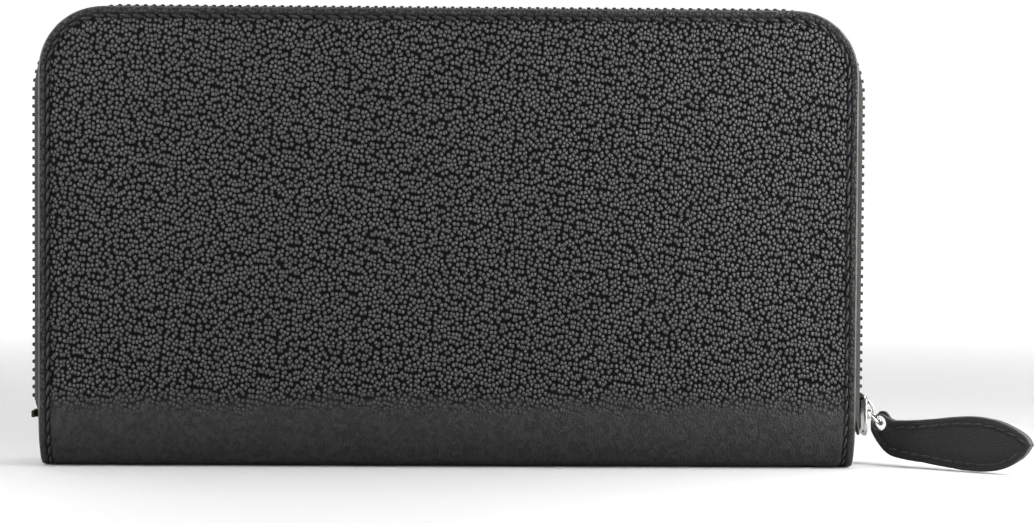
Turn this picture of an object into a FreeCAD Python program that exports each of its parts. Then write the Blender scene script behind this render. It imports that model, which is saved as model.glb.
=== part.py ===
"""Zip-around long wallet, modelled piece by piece in millimetres.

The wallet stands on its folded spine. X runs along the spine, Y through the thickness (the front
cover faces -Y) and Z up. The origin is the middle of the flat strip that the spine rests on.
"""

import FreeCAD
import Part
import math
import os

V = FreeCAD.Vector

# ---------------------------------------------------------------- driving dimensions
COVER_LENGTH = 190.0
COVER_HEIGHT = 107.0
THICKNESS = 25.0
CORNER_RADIUS = 15.0
LEATHER = 1.3
FOOT_HALF_WIDTH = 5.0  # half of the flat strip that the spine stands on
BEND_HEIGHT = 13.0  # height at which the covers leave the spine's curve
HINGE_HEIGHT = 4.0  # height of the line along which each cover folds on the spine

TAPE = 0.6
TAPE_SEAM = 7.0  # how far the tape reaches in behind the cover's edge
TAPE_LEVEL = 4.2  # half the width over which the two tapes lie level
TAPE_FOOT = 7.4  # height of the tape's lower end beside the closed slider
TAPE_FIXED_FOOT = 10.6  # and at the end where the two tapes are joined
ZIP_HALF_LENGTH = 97.0  # middle of the teeth, at the two ends of the wallet
ZIP_TOP = 107.1  # middle of the teeth, along the top
ZIP_CORNER = 20.0
TOOTH_PITCH = 2.0
TOOTH_WIDTH = 0.86  # along the chain
ZIP_SLOT = 1.5  # half the gap between the two tapes
CHAIN_FOOT = 13.0  # height of the lowest tooth

LINING = 0.5
LINING_INSET = 1.5
PADDING_INSET = 9.0
CARD_SHEET = 0.42
CARD_GAP = 0.05
CARD_TOPS = (84.0, 72.0, 60.0, 48.0)
CARD_HALF_LENGTH = 87.0

GUSSET_FOOT = 12.0
GUSSET_TOP = 78.0
GUSSET_CLOTH = 0.5
COIN_HALF_LENGTH = 90.0
COIN_WALL = 0.8
COIN_OUTSIDE = 3.4  # half the coin pocket's thickness
COIN_TOP = 82.0
COIN_END = 84.5  # where the coin pocket's end gussets are sewn in
COIN_PITCH = 1.6

STITCH_PITCH = 3.0
STITCH_LENGTH = 2.3
STITCH_THREAD = 0.5
STITCH_INSET = 2.2

SLIDER_HEIGHT = 12.0  # middle of the closed slider
SLIDER_HALF_LENGTH = 4.7

# ---------------------------------------------------------------- worked out from them
HALF_LENGTH = COVER_LENGTH / 2
HALF_THICK = THICKNESS / 2
INSIDE = HALF_THICK - LEATHER  # inner face of the cover leather
TAPE_FACE = INSIDE - TAPE  # inner face of the sewn tape flange
LINING_FACE = TAPE_FACE - LINING
OPEN_BEND = V(0, -FOOT_HALF_WIDTH, BEND_HEIGHT)  # centre of the spine's elliptical bend


def box(x0, x1, y0, y1, z0, z1):
    return Part.makeBox(x1 - x0, y1 - y0, z1 - z0, V(x0, y0, z0))


def extrude(points, direction):
    """A prism with a straight-sided section."""
    return Part.Face(Part.makePolygon(list(points) + [points[0]])).extrude(direction)


def fuse(shapes):
    return shapes[0].multiFuse(shapes[1:]).removeSplitter()


def mirror_y(shape):
    return shape.mirror(V(0, 0, 0), V(0, 1, 0))


def mirror_x(shape):
    return shape.mirror(V(0, 0, 0), V(1, 0, 0))


def rounded_wire(half, top, radius, bottom, y):
    """An upright outline with two rounded upper corners, in the plane at y."""
    turn = radius * math.sqrt(0.5)
    arcs = [
        Part.Arc(
            V(side * half, y, top - radius),
            V(side * (half - radius + turn), y, top - radius + turn),
            V(side * (half - radius), y, top),
        ).toShape()
        for side in (1, -1)
    ]
    straight = [
        Part.makeLine(V(half, y, bottom), V(half, y, top - radius)),
        Part.makeLine(V(half - radius, y, top), V(radius - half, y, top)),
        Part.makeLine(V(-half, y, top - radius), V(-half, y, bottom)),
        Part.makeLine(V(-half, y, bottom), V(half, y, bottom)),
    ]
    return Part.Wire([straight[0], arcs[0], straight[1], arcs[1], straight[2], straight[3]])


def slab(half, top, radius, bottom, y0, y1):
    """A flat sheet of that outline between two depths."""
    return Part.Face(rounded_wire(half, top, radius, bottom, y0)).extrude(V(0, y1 - y0, 0))


def cover_slab(inset, bottom, y0, y1):
    """A flat sheet that keeps the same distance inside the cover's edge all round."""
    radius = max(CORNER_RADIUS - inset, 1.0)
    return slab(HALF_LENGTH - inset, COVER_HEIGHT - inset, radius, bottom, y0, y1)


def bend_arc(inset, start, end):
    """Part of the spine's elliptical bend, from start to end, in radians up from the foot."""
    foot = OPEN_BEND + V(0, 0, inset - BEND_HEIGHT)
    side = OPEN_BEND + V(0, FOOT_HALF_WIDTH - HALF_THICK + inset, 0)
    return Part.Arc(Part.Ellipse(foot, side, OPEN_BEND), start, end).toShape()


def bend_angle(inset, height):
    return math.acos((BEND_HEIGHT - height) / (BEND_HEIGHT - inset))


def end_of(edge, upper):
    ends = sorted((v.Point for v in edge.Vertexes), key=lambda p: p.z)
    return ends[-1] if upper else ends[0]


# ---------------------------------------------------------------- leather and lining of the shell
def half_sheet(inset, thickness, low, half_length):
    """A front sheet: flat above, with a foot that curves in to the height low above the spine."""
    outer = bend_arc(inset, bend_angle(inset, low), math.pi / 2)
    inner = bend_arc(inset + thickness, bend_angle(inset + thickness, low), math.pi / 2)
    top_out = V(0, inset - HALF_THICK, COVER_HEIGHT)
    top_in = top_out + V(0, thickness, 0)
    section = Part.Wire(
        [
            Part.makeLine(top_out, end_of(outer, True)),
            outer,
            Part.makeLine(end_of(outer, False), end_of(inner, False)),
            inner,
            Part.makeLine(end_of(inner, True), top_in),
            Part.makeLine(top_in, top_out),
        ]
    )
    sheet = Part.Face(section).extrude(V(2 * half_length, 0, 0))
    sheet.translate(V(-half_length, 0, 0))
    return sheet


def spine_sheet(inset, thickness, high, half_length):
    """A trough under the wallet: flat in the middle, curving up to the height high at both sides."""
    outer = bend_arc(inset, 0, bend_angle(inset, high))
    inner = bend_arc(inset + thickness, 0, bend_angle(inset + thickness, high))
    middle = V(0, 0, inset)
    section = Part.Wire(
        [
            Part.makeLine(middle, end_of(outer, False)),
            outer,
            Part.makeLine(end_of(outer, True), end_of(inner, True)),
            inner,
            Part.makeLine(end_of(inner, False), middle + V(0, 0, thickness)),
            Part.makeLine(middle + V(0, 0, thickness), middle),
        ]
    )
    half = Part.Face(section).extrude(V(2 * half_length, 0, 0))
    half.translate(V(-half_length, 0, 0))
    return fuse([half, mirror_y(half)])


def cover_leather():
    sheet = half_sheet(0, LEATHER, HINGE_HEIGHT, HALF_LENGTH)
    return sheet.common(cover_slab(0, 0, -HALF_THICK - 1, 0))


def spine_leather():
    return spine_sheet(0, LEATHER, HINGE_HEIGHT, HALF_LENGTH)


def spine_lining():
    return spine_sheet(LEATHER, LINING, HINGE_HEIGHT - LINING, HALF_LENGTH - LINING_INSET)


# ---------------------------------------------------------------- one half's inside
def padding():
    """Thin foam that raises the middle of the cover, inside the sewn border."""
    return cover_slab(PADDING_INSET, BEND_HEIGHT, -INSIDE, -TAPE_FACE)


def lining():
    sheet = half_sheet(HALF_THICK - TAPE_FACE, LINING, HINGE_HEIGHT + LINING, HALF_LENGTH - LINING_INSET)
    return sheet.common(cover_slab(LINING_INSET, 0, -HALF_THICK, 0))


def card_backing():
    return card_sheet(0, CARD_TOPS[0] + 14.0)


def card_sheet(layer, top):
    """One leaf of the card panel: layer 0 lies on the lining and each next one on the last."""
    y0 = -LINING_FACE + layer * (CARD_SHEET + CARD_GAP)
    return box(-CARD_HALF_LENGTH, CARD_HALF_LENGTH, y0, y0 + CARD_SHEET, BEND_HEIGHT + 1, top)


def tape_ring(outlines):
    """The wall between two outlines of the tape, each (half, top, radius, y) at its middle surface."""
    side = TAPE / 2
    outer = [rounded_wire(h + side, t + side, r + side, TAPE_FOOT, y) for h, t, r, y in outlines]
    inner = [rounded_wire(h - side, t - side, r - side, 0, y) for h, t, r, y in outlines]
    return Part.makeLoft(outer, True, True).cut(Part.makeLoft(inner, True, True))


def zip_tape():
    """Woven tape: sewn flat behind the cover's edge, leaning out beside it and level at the teeth."""
    seam = (HALF_LENGTH - TAPE / 2, COVER_HEIGHT - TAPE / 2, CORNER_RADIUS, -TAPE_FACE)
    level = (ZIP_HALF_LENGTH, ZIP_TOP, ZIP_CORNER, -TAPE_LEVEL)
    edge = (ZIP_HALF_LENGTH, ZIP_TOP, ZIP_CORNER, -ZIP_SLOT)
    wall = fuse([tape_ring([seam, level]), tape_ring([level, edge])])
    slant = BEND_HEIGHT - TAPE_FOOT
    corner = [(-1, -1), (slant, -1), (-1, slant + 1)]
    below = extrude([V(-COVER_LENGTH, y - TAPE_FACE, TAPE_FOOT + z) for y, z in corner], V(2 * COVER_LENGTH, 0, 0))
    fixed_end = box(-COVER_LENGTH, 0, -HALF_THICK, 0, 0, TAPE_FIXED_FOOT)
    rim = cover_slab(0, BEND_HEIGHT, -INSIDE, -TAPE_FACE).cut(cover_slab(TAPE_SEAM, 0, -HALF_THICK, 0))
    return fuse([wall.cut(below).cut(fixed_end), rim])


# ---------------------------------------------------------------- zip chain
def chain_station(s, low):
    """Middle of the chain and the turn of its outward direction, s along it from its right end."""
    rise = ZIP_TOP - ZIP_CORNER - low
    quarter = math.pi / 2 * ZIP_CORNER
    across = 2 * (ZIP_HALF_LENGTH - ZIP_CORNER)
    inner = ZIP_HALF_LENGTH - ZIP_CORNER
    spring = ZIP_TOP - ZIP_CORNER
    if s < rise:
        return V(ZIP_HALF_LENGTH, 0, low + s), 0.0
    s -= rise
    if s < quarter:
        a = s / ZIP_CORNER
        return V(inner + ZIP_CORNER * math.cos(a), 0, spring + ZIP_CORNER * math.sin(a)), a
    s -= quarter
    if s < across:
        return V(inner - s, 0, ZIP_TOP), math.pi / 2
    s -= across
    if s < quarter:
        a = math.pi / 2 + s / ZIP_CORNER
        return V(-inner + ZIP_CORNER * math.cos(a), 0, spring + ZIP_CORNER * math.sin(a)), a
    s -= quarter
    return V(-ZIP_HALF_LENGTH, 0, spring - s), math.pi


def chain_length(low_right, low_left):
    straight = 2 * (ZIP_TOP - ZIP_CORNER) - low_right - low_left
    return straight + math.pi * ZIP_CORNER + 2 * (ZIP_HALF_LENGTH - ZIP_CORNER)


def tooth(leg_out, head_out, slot, leg_far, leg_near, head_near, width):
    """One tooth of the front row: two legs that grip the tape's edge, and a head."""
    profile = [
        (leg_out, -leg_far),
        (leg_out, -leg_near + 0.4),
        (head_out, -leg_near + 0.7),
        (head_out, head_near),
        (-head_out, head_near),
        (-head_out, -leg_near + 0.7),
        (-leg_out, -leg_near + 0.4),
        (-leg_out, -leg_far),
        (-slot, -leg_far),
        (-slot, -leg_near),
        (slot, -leg_near),
        (slot, -leg_far),
    ]
    return extrude([V(o, y, -width / 2) for o, y in profile], V(0, 0, width))


def main_teeth(first_offset):
    """One row of teeth round the three open sides, as separate solids."""
    pattern = tooth(1.2, 0.95, TAPE / 2 + 0.02, 2.85, ZIP_SLOT, 0.5, TOOTH_WIDTH)
    count = int((chain_length(CHAIN_FOOT, CHAIN_FOOT) - first_offset) / TOOTH_PITCH)
    row = []
    for i in range(count):
        place, turn = chain_station(first_offset + i * TOOTH_PITCH, CHAIN_FOOT)
        one = pattern.copy()
        one.rotate(V(0, 0, 0), V(0, 1, 0), -math.degrees(turn))
        one.translate(place)
        row.append(one)
    return Part.Compound(row)


def joining_stop():
    """The clamp that keeps the two tapes together at the fixed end of the chain."""
    x = -ZIP_HALF_LENGTH
    plate = 0.9
    gap = TAPE / 2 + 0.05
    low, high = TAPE_FIXED_FOOT + 0.2, TAPE_FIXED_FOOT + 1.8
    return fuse(
        [
            box(x - gap - plate, x - gap, -2.7, 2.7, low, high),
            box(x - gap, x + gap, -ZIP_SLOT + 0.1, ZIP_SLOT - 0.1, low, high),
            box(x + gap, x + gap + plate, -2.7, 2.7, low, high),
        ]
    )


# ---------------------------------------------------------------- slider, ring and pull
def slider_body(half_length, half_width, channel, wing, lip_gap, neck):
    """A slider that runs along +Z with its outside at +X, centred on the chain.

    Two wings joined by a wedge at the leading (lower) end, with lips along both sides.
    """
    tail = half_width - 0.35
    top = channel + wing
    plan = [
        V(channel, -half_width, -half_length + 1.2),
        V(channel, -half_width + 1.2, -half_length),
        V(channel, half_width - 1.2, -half_length),
        V(channel, half_width, -half_length + 1.2),
        V(channel, tail, half_length - 0.8),
        V(channel, tail - 0.8, half_length),
        V(channel, -tail + 0.8, half_length),
        V(channel, -tail, half_length - 0.8),
    ]
    outer = extrude(plan, V(wing, 0, 0))
    rim = [e for e in outer.Edges if all(abs(v.X - top) < 1e-6 for v in e.Vertexes)]
    outer = outer.makeFillet(wing * 0.45, rim)
    inner = mirror_x(outer)
    lip_low = -half_length + 1.4
    lip = box(lip_gap, channel, tail - 0.62, tail, lip_low, half_length - 0.9)
    lips = [lip, mirror_y(lip), mirror_x(lip), mirror_x(mirror_y(lip))]
    wedge = extrude(
        [
            V(-channel, -neck, -half_length + 0.5),
            V(-channel, neck, -half_length + 0.5),
            V(-channel, neck, -half_length + 2.0),
            V(-channel, 0, -half_length + 3.9),
            V(-channel, -neck, -half_length + 2.0),
        ],
        V(2 * channel, 0, 0),
    )
    return fuse([outer, inner, wedge] + lips)


def bridge(base, hole, bar, low, high, half_width):
    """The arch on the slider's back that the ring passes under, along +Z."""
    leg = 1.0
    arch = extrude(
        [
            V(base, -half_width, low),
            V(base, -half_width, low + leg),
            V(base + hole - 0.4, -half_width, low + leg),
            V(base + hole, -half_width, low + leg + 0.5),
            V(base + hole, -half_width, high - leg - 0.5),
            V(base + hole - 0.4, -half_width, high - leg),
            V(base, -half_width, high - leg),
            V(base, -half_width, high),
            V(base + hole - 0.4, -half_width, high),
            V(base + hole + bar, -half_width, high - 1.3),
            V(base + hole + bar, -half_width, low + 1.3),
            V(base + hole - 0.4, -half_width, low),
        ],
        V(0, 2 * half_width, 0),
    )
    crown = [
        e
        for e in arch.Edges
        if all(v.X > base + hole - 0.5 for v in e.Vertexes)
        and e.BoundBox.YLength < 1e-6
        and (min(v.Z for v in e.Vertexes) < low + 1.4 or max(v.Z for v in e.Vertexes) > high - 1.4)
        and max(v.X for v in e.Vertexes) > base + hole + bar - 1e-6
    ]
    return arch.makeFillet(0.25, crown)


MAIN_SLIDER = dict(half_length=SLIDER_HALF_LENGTH, half_width=3.95, channel=1.35, wing=0.8, lip_gap=0.62, neck=0.9)
SLIDER_BACK = MAIN_SLIDER["channel"] + MAIN_SLIDER["wing"]
BRIDGE_HOLE = 1.4
RING_RADIUS = 2.2
RING_WIRE = 0.4
RING_DROP = 42.0  # degrees that the ring hangs below level
RING_YAW = 18.0  # degrees that the ring is turned towards the front
PULL_YAW = 35.0  # degrees that the pull is turned towards the front
PULL_LAYER = 1.35
RING_EYE = V(ZIP_HALF_LENGTH + SLIDER_BACK + 0.68, 0, SLIDER_HEIGHT + 0.85)


def along_ring():
    """Unit direction from the bridge to the pull's hole."""
    drop, yaw = math.radians(RING_DROP), math.radians(RING_YAW)
    level = math.cos(drop)
    return V(level * math.cos(yaw), -level * math.sin(yaw), -math.sin(drop))


def across_ring():
    yaw = math.radians(RING_YAW)
    return V(math.sin(yaw), math.cos(yaw), 0)


def pull_hole():
    return RING_EYE + along_ring() * (2 * RING_RADIUS)


def pull_ring():
    middle = RING_EYE + along_ring() * RING_RADIUS
    return Part.makeTorus(RING_RADIUS, RING_WIRE, middle, along_ring().cross(across_ring()))


# Leaf outline (u, v): u along the blade and v up, from the ring's hole. The lower edge starts at the neck.
PULL_LOWER = [(-2.4, -1.6), (2.2, -7.0), (11.1, -8.4), (21.8, -9.5), (30.4, -8.5), (35.6, -5.2), (37.2, -2.8)]
PULL_UPPER = [(37.2, -2.8), (35.4, -1.0), (29.0, 2.3), (24.0, 3.0), (13.0, 1.9), (3.4, 1.0)]
FRONT_NECK = [(3.4, 1.0), (2.2, 1.5), (0.8, 2.2), (-1.0, 2.2), (-2.3, 0.9), (-2.4, -1.6)]
BACK_NECK = [(3.4, 1.0), (2.2, 1.5), (1.1, 2.8), (-0.2, 3.0), (-1.2, 2.1), (-2.1, 0.2), (-2.4, -1.6)]
PULL_HOLE = 1.85


def pull_point(u, v, w):
    """A place on the pull: u along it, v up and w out of its front face."""
    yaw = math.radians(PULL_YAW)
    out = V(-math.sin(yaw), -math.cos(yaw), 0)
    return pull_hole() + V(math.cos(yaw), -math.sin(yaw), 0) * u + V(0, 0, v) + out * w


def spline(points, w):
    curve = Part.BSplineCurve()
    curve.interpolate([pull_point(u, v, w) for u, v in points])
    return curve.toShape()


def pull_leather(w, neck):
    """One layer of the leaf, from depth w towards the front, with the ring's hole."""
    outline = Part.Wire([spline(PULL_LOWER, w), spline(PULL_UPPER, w), spline(neck, w)])
    depth = pull_point(0, 0, PULL_LAYER) - pull_point(0, 0, 0)
    leaf = Part.Face(outline).extrude(depth)
    hole = Part.makeCylinder(PULL_HOLE, 6, pull_point(-0.15, 0.2, -3), depth)
    return leaf.cut(hole)


def pull_stitches():
    """Stitches on the leaf's front face, a little inside its edge."""
    inset = 1.9
    lower = [(u, v + inset) for u, v in PULL_LOWER[1:6]]
    upper = [(u, v - inset) for u, v in PULL_UPPER[1:]]
    runs = [lower, upper]
    made = []
    for run in runs:
        edge = spline(run, PULL_LAYER)
        count = int(edge.Length / STITCH_PITCH)
        for i in range(count):
            a = edge.getParameterByLength(i * STITCH_PITCH + 0.4)
            b = edge.getParameterByLength(i * STITCH_PITCH + 0.4 + STITCH_LENGTH)
            made.append(stitch(edge.valueAt(a), edge.valueAt(b), pull_point(0, 0, 1) - pull_point(0, 0, 0)))
    return Part.Compound(made)


# ---------------------------------------------------------------- stitching
def stitch(start, end, outward):
    """One stitch: a low bar of thread lying on a face."""
    run = end - start
    run.normalize()
    side = run.cross(outward) * (STITCH_THREAD / 2)
    corners = [start + side, end + side, end - side, start - side]
    return extrude(corners, outward * 0.25)


def cover_stitches():
    """A row of stitches that follows the cover's edge round its three open sides."""
    half, top = HALF_LENGTH - STITCH_INSET, COVER_HEIGHT - STITCH_INSET
    radius = CORNER_RADIUS - STITCH_INSET
    low = BEND_HEIGHT
    path = rounded_wire(half, top, radius, low, -HALF_THICK)
    made = []
    for edge in path.Edges[:-1]:
        count = max(1, round(edge.Length / STITCH_PITCH))
        step = edge.Length / count
        for i in range(count):
            a = edge.getParameterByLength(i * step + 0.35)
            b = edge.getParameterByLength((i + 1) * step - 0.35)
            made.append(stitch(edge.valueAt(a), edge.valueAt(b), V(0, -1, 0)))
    return Part.Compound(made)


# ---------------------------------------------------------------- inside the spine
def strip_outline(points, thickness, z):
    """The outline, at height z, of a sheet folded along a run of (x, y) points."""
    pts = [V(x, y, 0) for x, y in points]
    left, right = [], []
    for i, p in enumerate(pts):
        before = pts[i] - pts[i - 1] if i else pts[1] - pts[0]
        after = pts[i + 1] - pts[i] if i + 1 < len(pts) else before
        before.normalize()
        after.normalize()
        n0, n1 = V(-before.y, before.x, 0), V(-after.y, after.x, 0)
        mitre = n0 + n1
        mitre = mitre * (thickness / mitre.Length**2)
        left.append(p + mitre)
        right.append(p - mitre)
    return [V(p.x, p.y, z) for p in left + right[::-1]]


def strip(points, thickness, z0, z1):
    """That sheet, upright between two heights."""
    return extrude(strip_outline(points, thickness, z0), V(0, 0, z1 - z0))


def gusset_folds(inner, outer, start):
    """The right-hand gusset from the front lining to the coin pocket: pleats from inner to outer."""
    lining_side = -LINING_FACE + 0.35
    coin_side = -COIN_OUTSIDE - 0.35
    first = -7.25  # the pleats lie between this depth and the coin pocket
    step = (coin_side - first) / 4
    folds = [(88.2, lining_side), (92.6, lining_side), (start, first), (inner, first)]
    folds += [(inner, first + step), (outer, first + step), (outer, first + 2 * step), (inner, first + 2 * step)]
    folds += [(inner, first + 3 * step), (outer, first + 3 * step), (outer, coin_side), (inner + 1.5, coin_side)]
    return folds


def side_gusset():
    """Pleated gusset between the front lining and the coin pocket, deeper towards its open top."""
    narrow = strip_outline(gusset_folds(87.4, 91.4, 89.4), GUSSET_CLOTH, GUSSET_FOOT)
    wide = strip_outline(gusset_folds(81.5, 92.3, 88.6), GUSSET_CLOTH, GUSSET_TOP)
    ends = [Part.makePolygon(outline + [outline[0]]) for outline in (narrow, wide)]
    return Part.makeLoft(ends, True, True)


def coin_wall():
    return box(-COIN_HALF_LENGTH, COIN_HALF_LENGTH, -COIN_OUTSIDE, COIN_WALL - COIN_OUTSIDE, 2.6, COIN_TOP)


def coin_base():
    return box(-COIN_HALF_LENGTH, COIN_HALF_LENGTH, -COIN_OUTSIDE, COIN_OUTSIDE, 2.0, 2.6)


def coin_gusset():
    """The coin pocket's own folded end, at the right."""
    y = COIN_OUTSIDE - COIN_WALL - 0.25
    return strip([(COIN_END + 3, -y), (COIN_END, -y), (COIN_END - 3.4, 0), (COIN_END, y), (COIN_END + 3, y)], 0.5, 2.6, COIN_TOP - 1)


COIN_ZIP = COIN_TOP + 0.9  # height of the middle of the coin zip's teeth
COIN_SLOT = 0.8


def coin_tape():
    """Tape of the coin zip, glued to the pocket's wall and turned in level."""
    outer = box(-COIN_HALF_LENGTH + 1, COIN_HALF_LENGTH - 1, -COIN_OUTSIDE, -COIN_SLOT, COIN_ZIP - 0.2, COIN_ZIP + 0.2)
    edge = box(-COIN_HALF_LENGTH + 1, COIN_HALF_LENGTH - 1, -COIN_OUTSIDE, 0.5 - COIN_OUTSIDE, COIN_TOP, COIN_ZIP)
    return fuse([outer, edge])


def coin_teeth(offset):
    pattern = tooth(0.8, 0.65, 0.22, 1.75, COIN_SLOT, 0.3, 0.7)
    pattern.rotate(V(0, 0, 0), V(0, 1, 0), -90)
    low, high = -80.0, 71.5
    count = int((high - low - offset) / COIN_PITCH)
    row = []
    for i in range(count):
        one = pattern.copy()
        one.translate(V(low + offset + i * COIN_PITCH, 0, COIN_ZIP))
        row.append(one)
    return Part.Compound(row)


def coin_stop(x):
    stop = box(x, x + 1.6, -1.5, 1.5, COIN_ZIP + 0.25, COIN_ZIP + 0.9)
    web = box(x, x + 1.6, -COIN_SLOT + 0.1, COIN_SLOT - 0.1, COIN_ZIP - 0.25, COIN_ZIP + 0.25)
    return fuse([stop, web])


COIN_SLIDER_X = 74.0
COIN_SLIDER = dict(half_length=3.4, half_width=2.5, channel=0.95, wing=0.6, lip_gap=0.32, neck=0.6)
COIN_SLIDER_BACK = COIN_SLIDER["channel"] + COIN_SLIDER["wing"]
COIN_PULL_EYE = V(COIN_SLIDER_X, 0, COIN_ZIP + COIN_SLIDER_BACK + 0.65)


def lay_on_coin_zip(shape):
    """Turns a slider piece so that it runs along X with its back up, leading end at +X."""
    shape.rotate(V(0, 0, 0), V(0, 1, 0), -90)
    shape.translate(V(COIN_SLIDER_X, 0, COIN_ZIP))
    return shape


def coin_slider():
    return lay_on_coin_zip(slider_body(**COIN_SLIDER))


def coin_bridge():
    return lay_on_coin_zip(bridge(COIN_SLIDER_BACK, 1.2, 0.6, -2.4, 2.4, 0.7))


def coin_pull():
    """A small metal tab lying back along the coin zip, with a slot round the bridge."""
    eye = COIN_PULL_EYE
    half = 0.35
    body = box(eye.x - 13.0, eye.x + half, -2.1, 2.1, eye.z - half, eye.z + half)
    upright = [e for e in body.Edges if e.BoundBox.ZLength > 0.5]
    body = body.makeFillet(0.3, upright)
    slot = box(eye.x - 2.6, eye.x - 0.35, -1.1, 1.1, eye.z - 1, eye.z + 1)
    window = box(eye.x - 11.0, eye.x - 5.0, -0.8, 0.8, eye.z - 1, eye.z + 1)
    return body.cut(slot).cut(window)


# ---------------------------------------------------------------- every node
def front_and_back(name, shape):
    return {"front_" + name: shape, "back_" + name: mirror_y(shape)}


def placed_on_chain(shape):
    shape.translate(V(ZIP_HALF_LENGTH, 0, SLIDER_HEIGHT))
    return shape


def nodes():
    made = {"spine_leather": spine_leather(), "spine_lining": spine_lining()}
    made.update(front_and_back("cover_leather", cover_leather()))
    made.update(front_and_back("cover_padding", padding()))
    made.update(front_and_back("lining", lining()))
    made.update(front_and_back("card_backing", card_backing()))
    for layer, top in enumerate(CARD_TOPS, start=1):
        made.update(front_and_back(f"card_slot_{layer}", card_sheet(layer, top)))
    made.update(front_and_back("zip_tape", zip_tape()))
    made["front_zip_teeth"] = main_teeth(0)
    made["back_zip_teeth"] = mirror_y(main_teeth(TOOTH_PITCH / 2))
    made["zip_joining_stop"] = joining_stop()
    made.update(front_and_back("cover_stitching", cover_stitches()))
    gusset = side_gusset()
    made.update(front_and_back("right_gusset", gusset))
    made.update(front_and_back("left_gusset", mirror_x(gusset)))
    made.update({"coin_front_wall": coin_wall(), "coin_back_wall": mirror_y(coin_wall())})
    made["coin_base"] = coin_base()
    made.update({"coin_right_gusset": coin_gusset(), "coin_left_gusset": mirror_x(coin_gusset())})
    made.update({"coin_front_tape": coin_tape(), "coin_back_tape": mirror_y(coin_tape())})
    made["coin_front_teeth"] = coin_teeth(0)
    made["coin_back_teeth"] = mirror_y(coin_teeth(COIN_PITCH / 2))
    made["coin_zip_stops"] = Part.Compound([coin_stop(-82.4), coin_stop(78.6)])
    made.update({"coin_slider": coin_slider(), "coin_slider_bridge": coin_bridge(), "coin_pull": coin_pull()})
    made["slider_body"] = placed_on_chain(slider_body(**MAIN_SLIDER))
    made["slider_bridge"] = placed_on_chain(bridge(SLIDER_BACK, BRIDGE_HOLE, 0.7, -1.0, 3.4, 0.55))
    made["pull_ring"] = pull_ring()
    made["pull_front_leather"] = pull_leather(0, FRONT_NECK)
    made["pull_back_leather"] = pull_leather(-PULL_LAYER, BACK_NECK)
    made["pull_stitching"] = pull_stitches()
    return made


if __name__ == "__main__":
    os.makedirs("parts", exist_ok=True)
    for name, shape in nodes().items():
        shape.exportStep(f"parts/{name}.step")
        print(f"{name:24s} solids {len(shape.Solids):4d} volume {shape.Volume:10.2f} mm3")
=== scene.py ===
# %% [markdown]
# A long wallet with a zip round three sides, standing on its folded spine. The moving frame comes
# ready made: every body and joint has its place, and this lesson builds the looks round it. Most
# new pieces say which body they ride on, so that they move when the wallet is opened.

import math

import bpy
from mathutils import Matrix, Vector, noise


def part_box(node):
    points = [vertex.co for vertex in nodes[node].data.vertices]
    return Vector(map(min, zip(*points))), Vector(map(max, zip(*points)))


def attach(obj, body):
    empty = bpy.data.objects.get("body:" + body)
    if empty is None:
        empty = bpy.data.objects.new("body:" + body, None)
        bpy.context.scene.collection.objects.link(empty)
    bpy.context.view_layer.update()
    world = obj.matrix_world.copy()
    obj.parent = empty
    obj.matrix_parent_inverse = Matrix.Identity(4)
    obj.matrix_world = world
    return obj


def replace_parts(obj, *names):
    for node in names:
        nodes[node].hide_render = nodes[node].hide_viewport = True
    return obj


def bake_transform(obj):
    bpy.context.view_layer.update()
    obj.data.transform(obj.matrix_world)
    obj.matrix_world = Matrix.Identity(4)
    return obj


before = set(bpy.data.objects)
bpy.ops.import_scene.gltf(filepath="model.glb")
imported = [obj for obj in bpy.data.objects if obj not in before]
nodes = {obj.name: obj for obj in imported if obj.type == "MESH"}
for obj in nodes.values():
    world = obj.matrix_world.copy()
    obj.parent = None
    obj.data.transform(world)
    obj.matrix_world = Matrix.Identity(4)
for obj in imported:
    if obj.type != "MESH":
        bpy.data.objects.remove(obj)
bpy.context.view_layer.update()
MM = 0.001

# %% [markdown]
# Working by hand in Blender means selecting something and then using a tool on it. The loaded
# pieces are all selected at first, so these helpers always clear the selection before they start.
# One helper selects faces by a rule, because a script can't point at them. Another adds a modifier
# and applies it at once, so that every finished piece is plain mesh.

# %% Helpers for selecting and shaping
def activate(*pieces):
    """Selects just these pieces, in object mode, with the first one active."""
    if bpy.context.object and bpy.context.object.mode != "OBJECT":
        bpy.ops.object.mode_set(mode="OBJECT")
    bpy.ops.object.select_all(action="DESELECT")
    for piece in pieces:
        piece.select_set(True)
    bpy.context.view_layer.objects.active = pieces[0]


def new_piece(name, add, **settings):
    """Adds a primitive with nothing else selected and gives it its name."""
    activate(nodes["pull_ring"])
    bpy.ops.object.select_all(action="DESELECT")
    add(**settings)
    piece = bpy.context.object
    piece.name = name
    piece.data.name = name
    bpy.ops.object.transform_apply(location=True, rotation=True, scale=True)
    return piece


def edit_faces(piece, rule):
    """Opens edit mode with the faces selected whose centre and normal fit the rule."""
    activate(piece)
    bpy.ops.object.mode_set(mode="EDIT")
    bpy.ops.mesh.select_mode(type="FACE")
    bpy.ops.mesh.select_all(action="DESELECT")
    bpy.ops.object.mode_set(mode="OBJECT")
    for face in piece.data.polygons:
        face.select = bool(rule(face.center, face.normal))
    bpy.ops.object.mode_set(mode="EDIT")


def close_edit():
    bpy.ops.object.mode_set(mode="OBJECT")


def modify(piece, kind, **settings):
    """Adds a modifier with these settings and applies it."""
    activate(piece)
    modifier = piece.modifiers.new(kind.title(), kind)
    for setting, value in settings.items():
        setattr(modifier, setting, value)
    bpy.ops.object.modifier_apply(modifier=modifier.name)


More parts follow.
